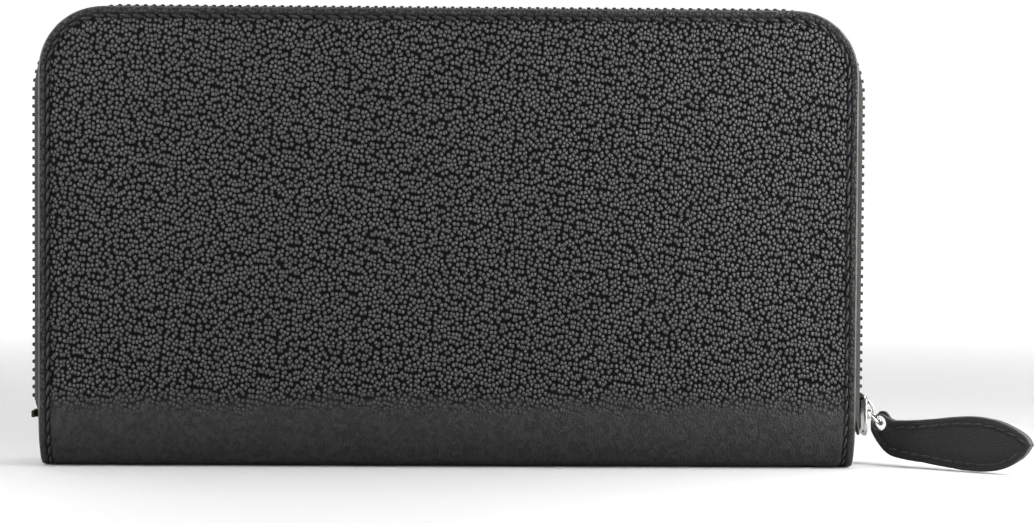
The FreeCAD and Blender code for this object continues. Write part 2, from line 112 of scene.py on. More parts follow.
def dress(piece, material, angle=40, second=None):
    """Gives a finished piece its material and smooth shading up to an angle."""
    piece.data.materials.clear()
    piece.data.materials.append(material)
    if second:
        piece.data.materials.append(second)
    activate(piece)
    bpy.ops.object.shade_smooth_by_angle(angle=math.radians(angle))
    print(piece.name, "has", len(piece.data.polygons), "faces")


def place_copies(pattern, name, places):
    """Copies one shape to many places, each with its own mesh, and joins the copies."""
    copies = []
    for place in places:
        one = pattern.copy()
        one.data = pattern.data.copy()
        one.data.transform(place)
        bpy.context.collection.objects.link(one)
        copies.append(one)
    activate(*copies)
    bpy.ops.object.join()
    joined = bpy.context.object
    joined.name = name
    joined.data.name = name
    return joined


def remove(piece):
    bpy.data.objects.remove(piece)


def smooth_step(low, high, value):
    share = min(max((value - low) / (high - low), 0.0), 1.0)
    return share * share * (3 - 2 * share)


# %% [markdown]
# The wallet's main measures, in millimetres, are read from the loaded frame where the frame shows
# them. The cover is a sheet of leather that starts flat under the spine, turns up round an
# elliptical bend and goes on straight to the top edge. FOOT is half of the flat strip that the
# wallet stands on, and BEND is the height where the cover starts to run straight up.

# %% Measures of the shell
cover_low, cover_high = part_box("front_cover_leather")
HALF_LENGTH = cover_high[0] / MM
TOP = cover_high[2] / MM
HALF_THICK = -cover_low[1] / MM
FOOT = 5.0
BEND = 13.0
CORNER = 15.0
LEATHER = 1.3
ZIP_HALF = 97.0
ZIP_TOP = 107.1
ZIP_CORNER = 20.0
print("cover", 2 * HALF_LENGTH, "by", TOP, "mm, wallet", 2 * HALF_THICK, "mm thick")

# %% [markdown]
# A leather cover bends in only one direction here, so it can be drawn flat, with x along the spine
# and s up the leather from the middle of the spine, and then wrapped. The ellipse of the bend has
# no simple length, so its length is added up in small steps and kept as a table.

# %% Wrapping flat leather round the spine
BEND_STEPS = 200


def bend_table():
    lengths = [0.0]
    across, up = HALF_THICK - FOOT, BEND
    before = (0.0, 0.0)
    for step in range(1, BEND_STEPS + 1):
        turn = math.pi / 2 * step / BEND_STEPS
        here = (across * math.sin(turn), up - up * math.cos(turn))
        lengths.append(lengths[-1] + math.dist(before, here))
        before = here
    return lengths


BEND_LENGTHS = bend_table()
BEND_LENGTH = BEND_LENGTHS[-1]
FLAT_TOP = FOOT + BEND_LENGTH + TOP - BEND


def bend_turn(length):
    """The angle round the ellipse at this length along it."""
    for step in range(1, BEND_STEPS + 1):
        if BEND_LENGTHS[step] >= length:
            part = (length - BEND_LENGTHS[step - 1]) / (BEND_LENGTHS[step] - BEND_LENGTHS[step - 1])
            return math.pi / 2 * (step - 1 + part) / BEND_STEPS
    return math.pi / 2


def wrap(x, s, depth, side):
    """The place, in metres, of flat point (x, s) at this depth inside the leather's face."""
    if s < FOOT:
        y, z = s, depth
    elif s < FOOT + BEND_LENGTH:
        turn = bend_turn(s - FOOT)
        y = FOOT + (HALF_THICK - FOOT - depth) * math.sin(turn)
        z = BEND - (BEND - depth) * math.cos(turn)
    else:
        y, z = HALF_THICK - depth, BEND + s - FOOT - BEND_LENGTH
    return Vector((x, side * y, z)) * MM


print("leather from spine to top edge:", round(FLAT_TOP, 1), "mm")

# %% [markdown]
# A sheet with rounded upper corners needs a mesh whose lines follow its edge, or the sewn groove
# beside the edge would come out jagged. The sheet starts as a grid. Lines near the sides and the
# top are set close together, at chosen distances from the edge, and where two such bands meet at a
# corner they are bent round it in quarter circles. The flat place of each corner of the mesh is
# kept in the UV map, one unit for 100 mm, and its distance from the edge in an attribute, so that
# a material can follow both.

# %% A sheet that follows the shell
def sheet_lines(rings, middle_step, low_lines, inset):
    """Lines across and up the sheet, as (position, distance from the edge) pairs."""
    half, radius = HALF_LENGTH - inset, CORNER - inset
    count = max(2, round(2 * (half - radius) / middle_step))
    middle = [radius + 2 * (half - radius) * i / count for i in range(1, count)]
    across = [(-half + d, d) for d in rings + [radius]]
    across += [(-half + d, radius) for d in middle]
    across += [(half - d, d) for d in [radius] + rings[::-1]]
    top = FLAT_TOP - inset
    start = low_lines[-1]
    count = max(2, round((top - radius - start) / middle_step))
    up = [(s, radius) for s in low_lines[:-1]]
    up += [(start + (top - radius - start) * i / count, radius) for i in range(count)]
    up += [(top - d, d) for d in [radius] + rings[::-1]]
    return across, up


def round_corner(x, s, from_side, from_top, inset):
    """Bends the lines near an upper corner round it."""
    radius = CORNER - inset
    if from_side >= radius or from_top >= radius:
        return x, s
    near, far = min(from_side, from_top), max(from_side, from_top)
    turn = math.pi / 4 * (1 - (far - near) / (radius - near))
    if from_top < from_side:
        turn = math.pi / 2 - turn
    centre = HALF_LENGTH - inset - radius
    ring = radius - near
    bent_x = math.copysign(centre + ring * math.cos(turn), x)
    return bent_x, FLAT_TOP - inset - radius + ring * math.sin(turn)


def shell_sheet(name, side, rings, middle_step, low_lines, inset, depth):
    """A wrapped sheet; depth is a function of the flat place and the distance from the edge."""
    across, up = sheet_lines(rings, middle_step, low_lines, inset)
    piece = new_piece(
        name,
        bpy.ops.mesh.primitive_grid_add,
        x_subdivisions=len(across) - 1,
        y_subdivisions=len(up) - 1,
        size=2,
    )
    flat = []
    edge = piece.data.attributes.new("edge_distance", "FLOAT", "POINT")
    for vertex in piece.data.vertices:
        i = round((vertex.co.x + 1) / 2 * (len(across) - 1))
        j = round((vertex.co.y + 1) / 2 * (len(up) - 1))
        (x, from_side), (s, from_top) = across[i], up[j]
        x, s = round_corner(x, s, from_side, from_top, inset)
        rim = min(from_side, from_top)
        flat.append((x, s))
        edge.data[vertex.index].value = rim
        vertex.co = wrap(x, s, depth(x, s, rim), side)
    for loop in piece.data.loops:
        x, s = flat[loop.vertex_index]
        piece.data.uv_layers.active.data[loop.index].uv = (x / 100, s / 100)
    if side > 0:
        edit_faces(piece, lambda centre, normal: True)
        bpy.ops.mesh.flip_normals()
        close_edit()
    return piece


# %% [markdown]
# Full-grain pebbled leather is covered with small rounded bumps. Voronoi cells have the same layout,
# so the distance to the nearest cell wall gives the bumps, and the places far from every cell's
# centre give the small dark pits where three bumps meet. The grain is a node group, because the
# same pattern, at other sizes, also serves the finer leathers. It reads flat coordinates, so the
# cells aren't cut at a slant where the leather bends.

# %% Node helpers
def new_group(name, inputs, outputs):
    """A node group with named value, colour or vector sockets."""
    group = bpy.data.node_groups.new(name, "ShaderNodeTree")
    for label, kind, value in inputs:
        socket = group.interface.new_socket(name=label, in_out="INPUT", socket_type="NodeSocket" + kind)
        if value is not None:
            socket.default_value = value
    for label, kind in outputs:
        group.interface.new_socket(name=label, in_out="OUTPUT", socket_type="NodeSocket" + kind)
    start = group.nodes.new("NodeGroupInput")
    end = group.nodes.new("NodeGroupOutput")
    return group, start, end


def add_node(tree, kind, links=(), **settings):
    """Adds a node; links are (input, socket or value) pairs."""
    node = tree.nodes.new("ShaderNode" + kind)
    for setting, value in settings.items():
        setattr(node, setting, value)
    for label, source in links:
        if isinstance(source, bpy.types.NodeSocket):
            tree.links.new(source, node.inputs[label])
        else:
            node.inputs[label].default_value = source
    return node


def calc(tree, operation, first, second=0.0, third=0.0):
    """One step of arithmetic."""
    links = [(0, first), (1, second), (2, third)]
    return add_node(tree, "Math", links, operation=operation).outputs[0]


def spread(tree, value, low, high, to_low=0.0, to_high=1.0):
    """Maps a range of values smoothly onto another."""
    links = [("Value", value), ("From Min", low), ("From Max", high)]
    links += [("To Min", to_low), ("To Max", to_high)]
    node = add_node(tree, "MapRange", links, interpolation_type="SMOOTHSTEP")
    return node.outputs["Result"]


def blend_colour(tree, factor, first, second):
    node = add_node(tree, "Mix", data_type="RGBA")
    for label, source in ((0, factor), (6, first), (7, second)):
        if isinstance(source, bpy.types.NodeSocket):
            tree.links.new(source, node.inputs[label])
        else:
            node.inputs[label].default_value = source
    return node.outputs[2]


# %% The grain group
grain_group, grain_in, grain_out = new_group(
    "leather grain",
    [
        ("Place", "Vector", None),
        ("Scale", "Float", 80.0),
        ("Wander", "Float", 0.006),
        ("Valley", "Float", 0.2),
    ],
    [("Height", "Float"), ("Pit", "Float"), ("Tone", "Float")],
)
tree = grain_group
wander_links = [("Vector", grain_in.outputs["Place"]), ("Scale", 34.0), ("Detail", 2.0)]
wander_noise = add_node(tree, "TexNoise", wander_links)
centred = add_node(
    tree, "VectorMath", [(0, wander_noise.outputs["Color"]), (1, (0.5, 0.5, 0.5))], operation="SUBTRACT"
)
shift = add_node(tree, "VectorMath", [(0, centred.outputs[0])], operation="SCALE")
tree.links.new(grain_in.outputs["Wander"], shift.inputs["Scale"])
place = add_node(
    tree, "VectorMath", [(0, grain_in.outputs["Place"]), (1, shift.outputs[0])], operation="ADD"
).outputs[0]
cells = [("Vector", place), ("Scale", grain_in.outputs["Scale"]), ("Randomness", 0.86)]
walls = add_node(tree, "TexVoronoi", cells, voronoi_dimensions="2D", feature="DISTANCE_TO_EDGE")
centres = add_node(tree, "TexVoronoi", cells, voronoi_dimensions="2D", feature="F1")
dome = spread(tree, walls.outputs["Distance"], 0.0, grain_in.outputs["Valley"])
crown = spread(tree, centres.outputs["Distance"], 0.0, 0.75, 1.0, 0.0)
pit = spread(tree, centres.outputs["Distance"], 0.34, 0.6)
creases = add_node(
    tree, "TexNoise", [("Vector", place), ("Scale", 620.0), ("Detail", 3.0), ("Roughness", 0.6)]
).outputs[0]
height = calc(tree, "MULTIPLY", dome, 0.4)
height = calc(tree, "MULTIPLY_ADD", crown, 0.6, height)
height = calc(tree, "MULTIPLY_ADD", pit, -0.5, height)
height = calc(tree, "MULTIPLY_ADD", creases, 0.12, height)
tree.links.new(height, grain_out.inputs["Height"])
hollow = calc(tree, "MULTIPLY_ADD", dome, -0.35, 1.0)
tree.links.new(calc(tree, "MULTIPLY", pit, hollow), grain_out.inputs["Pit"])
cell_tone = add_node(tree, "SeparateColor", [("Color", centres.outputs["Color"])]).outputs[0]
tree.links.new(cell_tone, grain_out.inputs["Tone"])
print("groups:", [group.name for group in bpy.data.node_groups])

# %% [markdown]
# Cloth and thread are made of yarns that cross at right angles. Two sine waves, one along each
# direction, give the height of a plain weave: whichever yarn is on top shows. The group turns them
# into one height and one shade.

# %% The weave group
weave_group, weave_in, weave_out = new_group(
    "weave",
    [("Place", "Vector", None), ("Across", "Float", 900.0), ("Along", "Float", 900.0)],
    [("Height", "Float"), ("Shade", "Float")],
)
tree = weave_group
parts = add_node(tree, "SeparateXYZ", [("Vector", weave_in.outputs["Place"])])
warp = calc(tree, "MULTIPLY", parts.outputs["X"], weave_in.outputs["Across"])
weft = calc(tree, "MULTIPLY", parts.outputs["Y"], weave_in.outputs["Along"])
warp_wave = calc(tree, "ABSOLUTE", calc(tree, "SINE", warp))
weft_wave = calc(tree, "ABSOLUTE", calc(tree, "SINE", weft))
over = calc(tree, "MULTIPLY", calc(tree, "SINE", warp), calc(tree, "SINE", weft))
over = spread(tree, over, -0.25, 0.25)
height = calc(tree, "MULTIPLY", warp_wave, over)
height = calc(tree, "MULTIPLY_ADD", weft_wave, calc(tree, "SUBTRACT", 1.0, over), height)
tree.links.new(height, weave_out.inputs["Height"])
fibre_links = [("Vector", weave_in.outputs["Place"]), ("Scale", 260.0), ("Detail", 3.0)]
fibres = add_node(tree, "TexNoise", fibre_links)
shade = calc(tree, "MULTIPLY_ADD", height, 0.7, calc(tree, "MULTIPLY", fibres.outputs[0], 0.45))
tree.links.new(shade, weave_out.inputs["Shade"])

# %% [markdown]
# Each finish is its own material round one Principled shader. The constants, such as sheen, stay on
# the shader, and only colour, roughness, shine and bump are driven by the patterns. Lengths are in
# metres, so a bump of 0.2 mm is written as 0.0002.

# %% Material helpers
def new_material(name, colour, roughness, metallic=0.0):
    material = bpy.data.materials.new(name)
    material.use_nodes = True
    shader = material.node_tree.nodes["Principled BSDF"]
    shader.inputs["Base Color"].default_value = (*colour, 1)
    shader.inputs["Roughness"].default_value = roughness
    shader.inputs["Metallic"].default_value = metallic
    material.diffuse_color = (*colour, 1)
    return material, material.node_tree, shader


def add_bump(tree, shader, height, distance, strength=1.0):
    links = [("Height", height), ("Distance", distance), ("Strength", strength)]
    bump = add_node(tree, "Bump", links)
    tree.links.new(bump.outputs["Normal"], shader.inputs["Normal"])


def use_group(tree, group, **values):
    node = tree.nodes.new("ShaderNodeGroup")
    node.node_tree = group
    for label, source in values.items():
        if isinstance(source, bpy.types.NodeSocket):
            tree.links.new(source, node.inputs[label])
        else:
            node.inputs[label].default_value = source
    return node


def coordinates(tree, output="Object", scale=(1, 1, 1), turn=0.0):
    source = add_node(tree, "TexCoord").outputs[output]
    links = [("Vector", source), ("Scale", scale), ("Rotation", (0, 0, turn))]
    return add_node(tree, "Mapping", links).outputs["Vector"]


# %% [markdown]
# The cover's leather is black, with a soft shine on top of each bump and almost none in the pits.
# Its colour carries painted light too: the bump tops are painted lighter as a painted highlight,
# and the pits and the line along the stitches, where the groove keeps the light out, are painted
# darker as painted shade. The bumps are a little taller than wide. They fade away low down, where
# the leather is smooth round the spine and only faintly mottled, and stay small on the flat border
# outside the stitches.

# %% Pebbled leather
leather, tree, shader = new_material("pebbled leather", (0.03, 0.029, 0.031), 0.5)
flat_place = coordinates(tree, "UV", (1.14, 0.88, 1), 0.16)
grain = use_group(tree, grain_group, Place=flat_place, Scale=98.0, Wander=0.0042, Valley=0.2)
rim = add_node(tree, "Attribute", attribute_name="edge_distance").outputs["Fac"]
flat_parts = add_node(tree, "SeparateXYZ", [("Vector", add_node(tree, "TexCoord").outputs["UV"])])
ragged = add_node(tree, "TexNoise", [("Vector", flat_place), ("Scale", 22.0), ("Detail", 4.0)]).outputs[0]
climb = calc(tree, "MULTIPLY_ADD", ragged, 0.07, flat_parts.outputs["Y"])
low_fade = spread(tree, climb, 0.235, 0.315)
border_fade = spread(tree, rim, 1.6, 3.2, 0.25, 1.0)
fade = calc(tree, "MULTIPLY", low_fade, border_fade)
fine_links = [("Vector", flat_place), ("Scale", 210.0), ("Detail", 5.0), ("Roughness", 0.62)]
fine = add_node(tree, "TexNoise", fine_links)
height = calc(tree, "MULTIPLY", grain.outputs["Height"], fade)
height = calc(tree, "MULTIPLY_ADD", fine.outputs[0], 0.62, height)
add_bump(tree, shader, height, 0.0008)
depth_shade = calc(tree, "MULTIPLY", grain.outputs["Pit"], fade)
# Painted highlight: the bump tops are painted lighter in colour; the same mask also makes them smoother
# and shinier.
top_highlight = spread(tree, grain.outputs["Height"], 0.25, 0.95)
top_highlight = calc(tree, "MULTIPLY", top_highlight, fade)
tone = calc(tree, "MULTIPLY_ADD", grain.outputs["Tone"], 0.25, calc(tree, "MULTIPLY", top_highlight, 0.75))
patchy = spread(tree, fine.outputs[0], 0.35, 0.65)
mottle = calc(tree, "MULTIPLY", patchy, spread(tree, low_fade, 1.0, 0.0))
tone = calc(tree, "MULTIPLY_ADD", mottle, 0.16, tone)
colour = blend_colour(tree, tone, (0.007, 0.0067, 0.0075, 1), (0.1, 0.097, 0.099, 1))
# Painted shade: the pits, faded with the grain, are painted almost black for the shade that falls into
# them; the same mask also roughens them.
colour = blend_colour(tree, depth_shade, colour, (0.001, 0.001, 0.0013, 1))
# Painted shade: the colour is darkened along the stitch groove, where the groove keeps the light out.
groove_shade_distance = calc(tree, "ABSOLUTE", calc(tree, "SUBTRACT", rim, 2.1))
colour = blend_colour(tree, spread(tree, groove_shade_distance, 1.0, 0.2), colour, (0.002, 0.002, 0.0025, 1))
tree.links.new(colour, shader.inputs["Base Color"])
rough = calc(tree, "MULTIPLY_ADD", top_highlight, -0.2, 0.62)
rough = calc(tree, "MULTIPLY_ADD", depth_shade, 0.25, rough)
tree.links.new(rough, shader.inputs["Roughness"])
shine = calc(tree, "MULTIPLY_ADD", top_highlight, 0.4, calc(tree, "MULTIPLY_ADD", fade, -0.24, 0.36))
tree.links.new(shine, shader.inputs["Specular IOR Level"])

# %% [markdown]
# Cut leather edges are coated with thick paint and rubbed round. The paint is smoother and a little
# paler than the leather, with a faint unevenness from the brush.

# %% Edge paint
edge_paint, tree, shader = new_material("edge paint", (0.075, 0.068, 0.064), 0.42)
stroke_links = [("Vector", coordinates(tree)), ("Scale", 420.0), ("Detail", 3.0)]
strokes = add_node(tree, "TexNoise", stroke_links).outputs[0]
thick = spread(tree, strokes, 0.3, 0.7)
colour = blend_colour(tree, thick, (0.055, 0.049, 0.046, 1), (0.105, 0.097, 0.091, 1))
tree.links.new(colour, shader.inputs["Base Color"])
tree.links.new(calc(tree, "MULTIPLY_ADD", strokes, 0.3, 0.28), shader.inputs["Roughness"])
add_bump(tree, shader, strokes, 0.00008)

# %% [markdown]
# The pull and the inside are cut from calmer leather. They use the same grain at a much smaller
# size, with a low bump. It is laid over the piece by its own flat coordinates, which the modelling
# steps below store in each piece's UV map.

# %% Fine leathers
def fine_leather(name, dark, light, roughness, scale, bump):
    material, tree, shader = new_material(name, light[:3], roughness)
    place = coordinates(tree, "UV")
    grain = use_group(tree, grain_group, Place=place, Scale=scale, Wander=0.004, Valley=0.3)
    patches = add_node(tree, "TexNoise", [("Vector", place), ("Scale", 9.0), ("Detail", 4.0)]).outputs[0]
    # Partly painted light: the colour follows the grain's height, painted lighter on the tops and darker
    # in the pits, mixed with random patches of real tone.
    tone = calc(tree, "MULTIPLY_ADD", grain.outputs["Height"], 0.6, calc(tree, "MULTIPLY", patches, 0.5))
    tree.links.new(blend_colour(tree, tone, dark, light), shader.inputs["Base Color"])
    tree.links.new(calc(tree, "MULTIPLY_ADD", patches, 0.16, roughness - 0.08), shader.inputs["Roughness"])
    add_bump(tree, shader, grain.outputs["Height"], bump)
    return material


pull_leather = fine_leather(
    "pull leather", (0.002, 0.0019, 0.0022, 1), (0.018, 0.0168, 0.019, 1), 0.62, 330.0, 0.00014
)
inner_leather = fine_leather(
    "inner leather", (0.018, 0.017, 0.018, 1), (0.05, 0.048, 0.05, 1), 0.5, 240.0, 0.00008
)


# %% [markdown]
# The lining, the pleated gussets, the zip's tape and the thread are all woven or twisted yarn, so
# they share the weave group and differ in yarn size, colour and sheen.

# %% Fabrics
def fabric(name, dark, light, across, along, bump, roughness=0.9, output="UV", turn=0.0):
    material, tree, shader = new_material(name, light[:3], roughness)
    place = coordinates(tree, output, turn=turn)
    weave = use_group(tree, weave_group, Place=place, Across=across, Along=along)
    tree.links.new(blend_colour(tree, weave.outputs["Shade"], dark, light), shader.inputs["Base Color"])
    tree.links.new(
        calc(tree, "MULTIPLY_ADD", weave.outputs["Shade"], -0.12, roughness), shader.inputs["Roughness"]
    )
    shader.inputs["Sheen Weight"].default_value = 0.12
    shader.inputs["Sheen Roughness"].default_value = 0.5
    add_bump(tree, shader, weave.outputs["Height"], bump)
    return material


lining_cloth = fabric(
    "lining fabric", (0.02, 0.02, 0.023, 1), (0.075, 0.074, 0.08, 1), 900.0, 900.0, 0.0001
)
gusset_cloth = fabric(
    "gusset fabric", (0.018, 0.018, 0.02, 1), (0.07, 0.069, 0.075, 1), 800.0, 800.0, 0.0001
)
tape_cloth = fabric(
    "zip tape", (0.003, 0.0028, 0.0022, 1), (0.017, 0.016, 0.012, 1), 620.0, 420.0, 0.00014
)
thread = fabric(
    "black thread",
    (0.003, 0.003, 0.0035, 1),
    (0.024, 0.023, 0.025, 1),
    7000.0,
    7000.0,
    0.00005,
    roughness=0.6,
    output="Object",
    turn=0.6,
)

# %% [markdown]
# Foam fills the cover. It is never seen, and gets a plain cellular surface.

# %% Foam
foam, tree, shader = new_material("padding foam", (0.25, 0.25, 0.26), 0.95)
bubbles = add_node(tree, "TexVoronoi", [("Vector", coordinates(tree)), ("Scale", 1600.0)])
colour = blend_colour(tree, bubbles.outputs["Distance"], (0.18, 0.18, 0.19, 1), (0.3, 0.3, 0.31, 1))
tree.links.new(colour, shader.inputs["Base Color"])
add_bump(tree, shader, bubbles.outputs["Distance"], 0.00015)


# %% [markdown]
# The slider, its bridge and the ring are bright nickel plate: a mirror with faint fingermarks and a
# very slightly warm tint. The teeth and stops are plated black, which wears brownish, and the coin
# zip's teeth are brushed metal.

# %% Metals
def metal(name, dark, light, roughness, variation, scale, bump, metallic=1.0):
    material, tree, shader = new_material(name, light[:3], roughness, metallic)
    links = [("Vector", coordinates(tree)), ("Scale", scale), ("Detail", 5.0), ("Roughness", 0.6)]
    smudge = add_node(tree, "TexNoise", links).outputs[0]
    spots = spread(tree, smudge, 0.3, 0.7)
    tree.links.new(blend_colour(tree, spots, dark, light), shader.inputs["Base Color"])
    tree.links.new(calc(tree, "MULTIPLY_ADD", spots, variation, roughness), shader.inputs["Roughness"])
    add_bump(tree, shader, smudge, bump)
    return material


nickel = metal("bright nickel", (0.74, 0.72, 0.69, 1), (0.86, 0.85, 0.83, 1), 0.1, 0.12, 260.0, 0.00002)
black_metal = metal(
    "black plated teeth", (0.02, 0.018, 0.012, 1), (0.06, 0.055, 0.038, 1), 0.42, 0.2, 700.0, 0.00004, 0.7
)
tooth_metal = metal(
    "brushed teeth", (0.5, 0.49, 0.48, 1), (0.68, 0.67, 0.66, 1), 0.28, 0.14, 900.0, 0.00003
)
print("materials:", len(bpy.data.materials))

# %% [markdown]
# Now the cover itself. Its face isn't flat: the sewn line pulls a groove into it, small puckers sit
# beside the groove, one to a stitch, and the padding lifts the middle. All this is one function of
# the flat place, measured from the sheet's edge. A Solidify modifier then gives the leather its
# thickness, inwards. The edge itself is rolled back a little, and its faces take the edge paint.

# %% The shape of the cover's face
STITCH_INSET = 2.2
STITCH_PITCH = 3.0
PADDING_LIFT = 1.5
GROOVE_DEPTH = 0.7
PUCKER_HEIGHT = 0.2


def run_length(x, s):
    """Length along the stitch line beside this place, from the spine."""
    spring = FLAT_TOP - CORNER
    radius = CORNER - STITCH_INSET
    centre = HALF_LENGTH - CORNER
    if s < spring:
        return s
    if abs(x) > centre:
        return spring + radius * math.atan2(s - spring, abs(x) - centre)
    return spring + radius * math.pi / 2 + centre - abs(x)


def face_depth(x, s, rim, side):
    """Depth of the leather's face below its plain flat place; the middle is lifted."""
    standing = smooth_step(FOOT + 4, FOOT + BEND_LENGTH + 14, s)
    lift = PADDING_LIFT * (1 - math.exp(-max(rim_distance(x, s) - 3.0, 0) / 10)) * standing
    groove = GROOVE_DEPTH * math.exp(-(((rim - STITCH_INSET) / 0.6) ** 2))
    wave = math.cos(2 * math.pi * run_length(x, s) / STITCH_PITCH)
    vary = 0.6 + 0.8 * noise.noise(Vector((x / 9, s / 9, 3.0 + side)))
    beside = math.exp(-(((rim - 3.4) / 0.7) ** 2)) + 0.35 * math.exp(-(((rim - 1.2) / 0.4) ** 2))
    pucker = PUCKER_HEIGHT * wave * vary * beside
    slack = 0.22 * noise.noise(Vector((x / 30, s / 24, 7.0 * side))) * min(rim_distance(x, s) / 15, 1)
    rolled = 0.28 * math.exp(-((rim / 0.55) ** 2))
    return groove + rolled - lift - pucker - slack * standing


def rim_distance(x, s):
    """Distance from the sheet's edge, for places well inside it too."""
    return min(HALF_LENGTH - abs(x), FLAT_TOP - s)


# %% The two halves of the cover
HIDE_RINGS = [0.0, 0.3, 0.7, 1.2, 1.7, 2.2, 2.7, 3.3, 4.0, 4.9, 6.1, 7.7, 9.8, 12.4]
BEND_LINES = [0.0, 2.5] + [FOOT + BEND_LENGTH * i / 12 for i in range(13)]
HIDE_STEP = 1.7
PAINTED_RIM = 0.32


def make_hide(name, side):
    piece = shell_sheet(
        name, side, HIDE_RINGS, HIDE_STEP, BEND_LINES, 0.0, lambda x, s, rim: face_depth(x, s, rim, side)
    )
    modify(piece, "SUBSURF", levels=1, render_levels=1)
    modify(piece, "SOLIDIFY", thickness=LEATHER * MM, offset=-1.0)
    dress(piece, leather, 50, edge_paint)
    cut = cover_edge_faces(piece)
    print(name, "painted faces:", cut)
    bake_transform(piece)
    return piece


def cover_edge_faces(piece):
    """Gives the cut edge and a hair's breadth of the face beside it the second material."""
    rim = piece.data.attributes["edge_distance"].data
    painted = 0
    for face in piece.data.polygons:
        distances = [rim[corner].value for corner in face.vertices]
        if max(distances) < PAINTED_RIM:
            face.material_index = 1
            painted += 1
    return painted


front_hide = make_hide("front_hide", -1)
back_hide = make_hide("back_hide", 1)
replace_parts(front_hide, "front_cover_leather", "spine_leather")
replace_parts(back_hide, "back_cover_leather")

# %% [markdown]
# Saddle stitches are short thick threads that dive into the leather at both ends, each a little
# aslant. One stitch is made from a small ball: stretched, and its underside pressed flat. It is
# then copied along the groove. The run keeps a fixed distance from the edge, goes round the
# corners and down the bend to the spine.

# %% One stitch
def make_stitch(length, thickness):
    """A stitch lying along X with its outside at +Z, a few dozen faces."""
    stitch = new_piece(
        "stitch",
        bpy.ops.mesh.primitive_uv_sphere_add,
        segments=8,
        ring_count=6,
        radius=0.5,
        rotation=(0, math.pi / 2, 0),
        scale=(thickness * MM, thickness * MM, length * MM),
    )
    edit_faces(stitch, lambda centre, normal: centre.z < 0)
    bpy.ops.transform.resize(value=(1.04, 1.0, 0.55))
    close_edit()
    return stitch


def stitch_place(start, end, outward, slant):
    """The place of a stitch between two holes, turned a little aslant."""
    along = (end - start).normalized()
    across = outward.cross(along).normalized()
    up = along.cross(across)
    turned = Matrix((along, across, up)).transposed().to_4x4()
    return Matrix.Translation((start + end) / 2) @ turned @ Matrix.Rotation(slant, 4, "Z")


# %% Stitching of the cover
def edge_point(run, distance):
    """Flat place at this length along a line beside the edge, from the right end of the spine."""
    radius = CORNER - distance
    spring = FLAT_TOP - CORNER
    centre = HALF_LENGTH - CORNER
    arc = radius * math.pi / 2
    if run < spring:
        return HALF_LENGTH - distance, run
    run -= spring
    if run < arc:
        turn = run / radius
        return centre + radius * math.cos(turn), spring + radius * math.sin(turn)
    run -= arc
    if run < 2 * centre:
        return centre - run, FLAT_TOP - distance
    run -= 2 * centre
    if run < arc:
        turn = math.pi / 2 + run / radius
        return -centre + radius * math.cos(turn), spring + radius * math.sin(turn)
    return distance - HALF_LENGTH, spring - (run - arc)


def cover_stitching(name, side):
    pattern = make_stitch(2.4, 0.7)
    whole = 2 * (FLAT_TOP - CORNER) + (CORNER - STITCH_INSET) * math.pi + 2 * (HALF_LENGTH - CORNER)
    count = round((whole - 2) / STITCH_PITCH)
    step = (whole - 2) / count
    places = []
    for i in range(count):
        ends = [edge_point(1 + (i + part) * step, STITCH_INSET) for part in (0.1, 0.9)]
        depth = 0.62 * face_depth(*ends[0], STITCH_INSET, side) - 0.12
        start, end = (wrap(x, s, depth, side) for x, s in ends)
        above = wrap(*ends[0], depth - 1, side)
        places.append(stitch_place(start, end, above - start, 0.2 * side))
    stitching = place_copies(pattern, name, places)
    remove(pattern)
    dress(stitching, thread, 60)
    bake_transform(stitching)
    print(name, count, "stitches")
    return stitching


front_stitching = cover_stitching("front_stitches", -1)
back_stitching = cover_stitching("back_stitches", 1)
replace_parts(front_stitching, "front_cover_stitching")
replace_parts(back_stitching, "back_cover_stitching")

# %% [markdown]
# Inside, each cover is lined with cloth that is glued down and runs on over the spine, so it bends
# with the leather. It is the same kind of wrapped sheet, deeper in, with faint ripples where the
# glue has let go. Between leather and lining lies a thin sheet of foam.

# %% Lining and padding
def make_lining(name, side):
    inset, depth = 1.5, 1.95
    low = [0.0, 2.5] + [FOOT + BEND_LENGTH * i / 8 for i in range(9)]
    sheet = shell_sheet(
        name,
        side,
        [0.0, 0.8, 2.5, 5.5, 9.5],
        5.0,
        low,
        inset,
        lambda x, s, rim: depth + 0.06 * noise.noise(Vector((x / 12, s / 12, side))) * min(rim / 5, 1),
    )
    flip_sheet(sheet)
    modify(sheet, "SOLIDIFY", thickness=0.4 * MM, offset=1.0)
    dress(sheet, lining_cloth, 50)
    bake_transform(sheet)
    return sheet


def flip_sheet(sheet):
    """Turns a sheet's faces towards the wallet's inside."""
    edit_faces(sheet, lambda centre, normal: True)
    bpy.ops.mesh.flip_normals()
    close_edit()


def make_padding(name, side):
    start = FOOT + BEND_LENGTH + 1
    pad = shell_sheet(name, side, [0.0, 1.5, 3.5], 6.0, [start, start + 3], 9.0, lambda x, s, rim: 1.88)
    modify(pad, "SOLIDIFY", thickness=0.5 * MM, offset=1.0)
    edit_faces(pad, lambda centre, normal: normal.y * side > 0.9)
    bpy.ops.mesh.inset(thickness=2.0 * MM, depth=0.12 * MM)
    close_edit()
    dress(pad, foam, 50)
    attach(pad, "front_half" if side < 0 else "back_half")
    return pad


front_lining = make_lining("front_lining_cloth", -1)
back_lining = make_lining("back_lining_cloth", 1)
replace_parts(front_lining, "front_lining", "spine_lining")
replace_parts(back_lining, "back_lining")
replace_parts(make_padding("front_foam", -1), "front_cover_padding")
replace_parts(make_padding("back_foam", 1), "back_cover_padding")

# %% [markdown]
# A zip's tape is sewn in behind the cover's edge, leans out beside it and turns level to reach the
# teeth. Its section changes shape round the corners, so it can't be swept along a curve. It is a
# grid again: one direction runs along the zip and the other across the tape, through a few outlines
# that grow from the seam to the teeth. Each outline is given as half its length, its top, its corner
# radius and its distance from the wallet's middle.

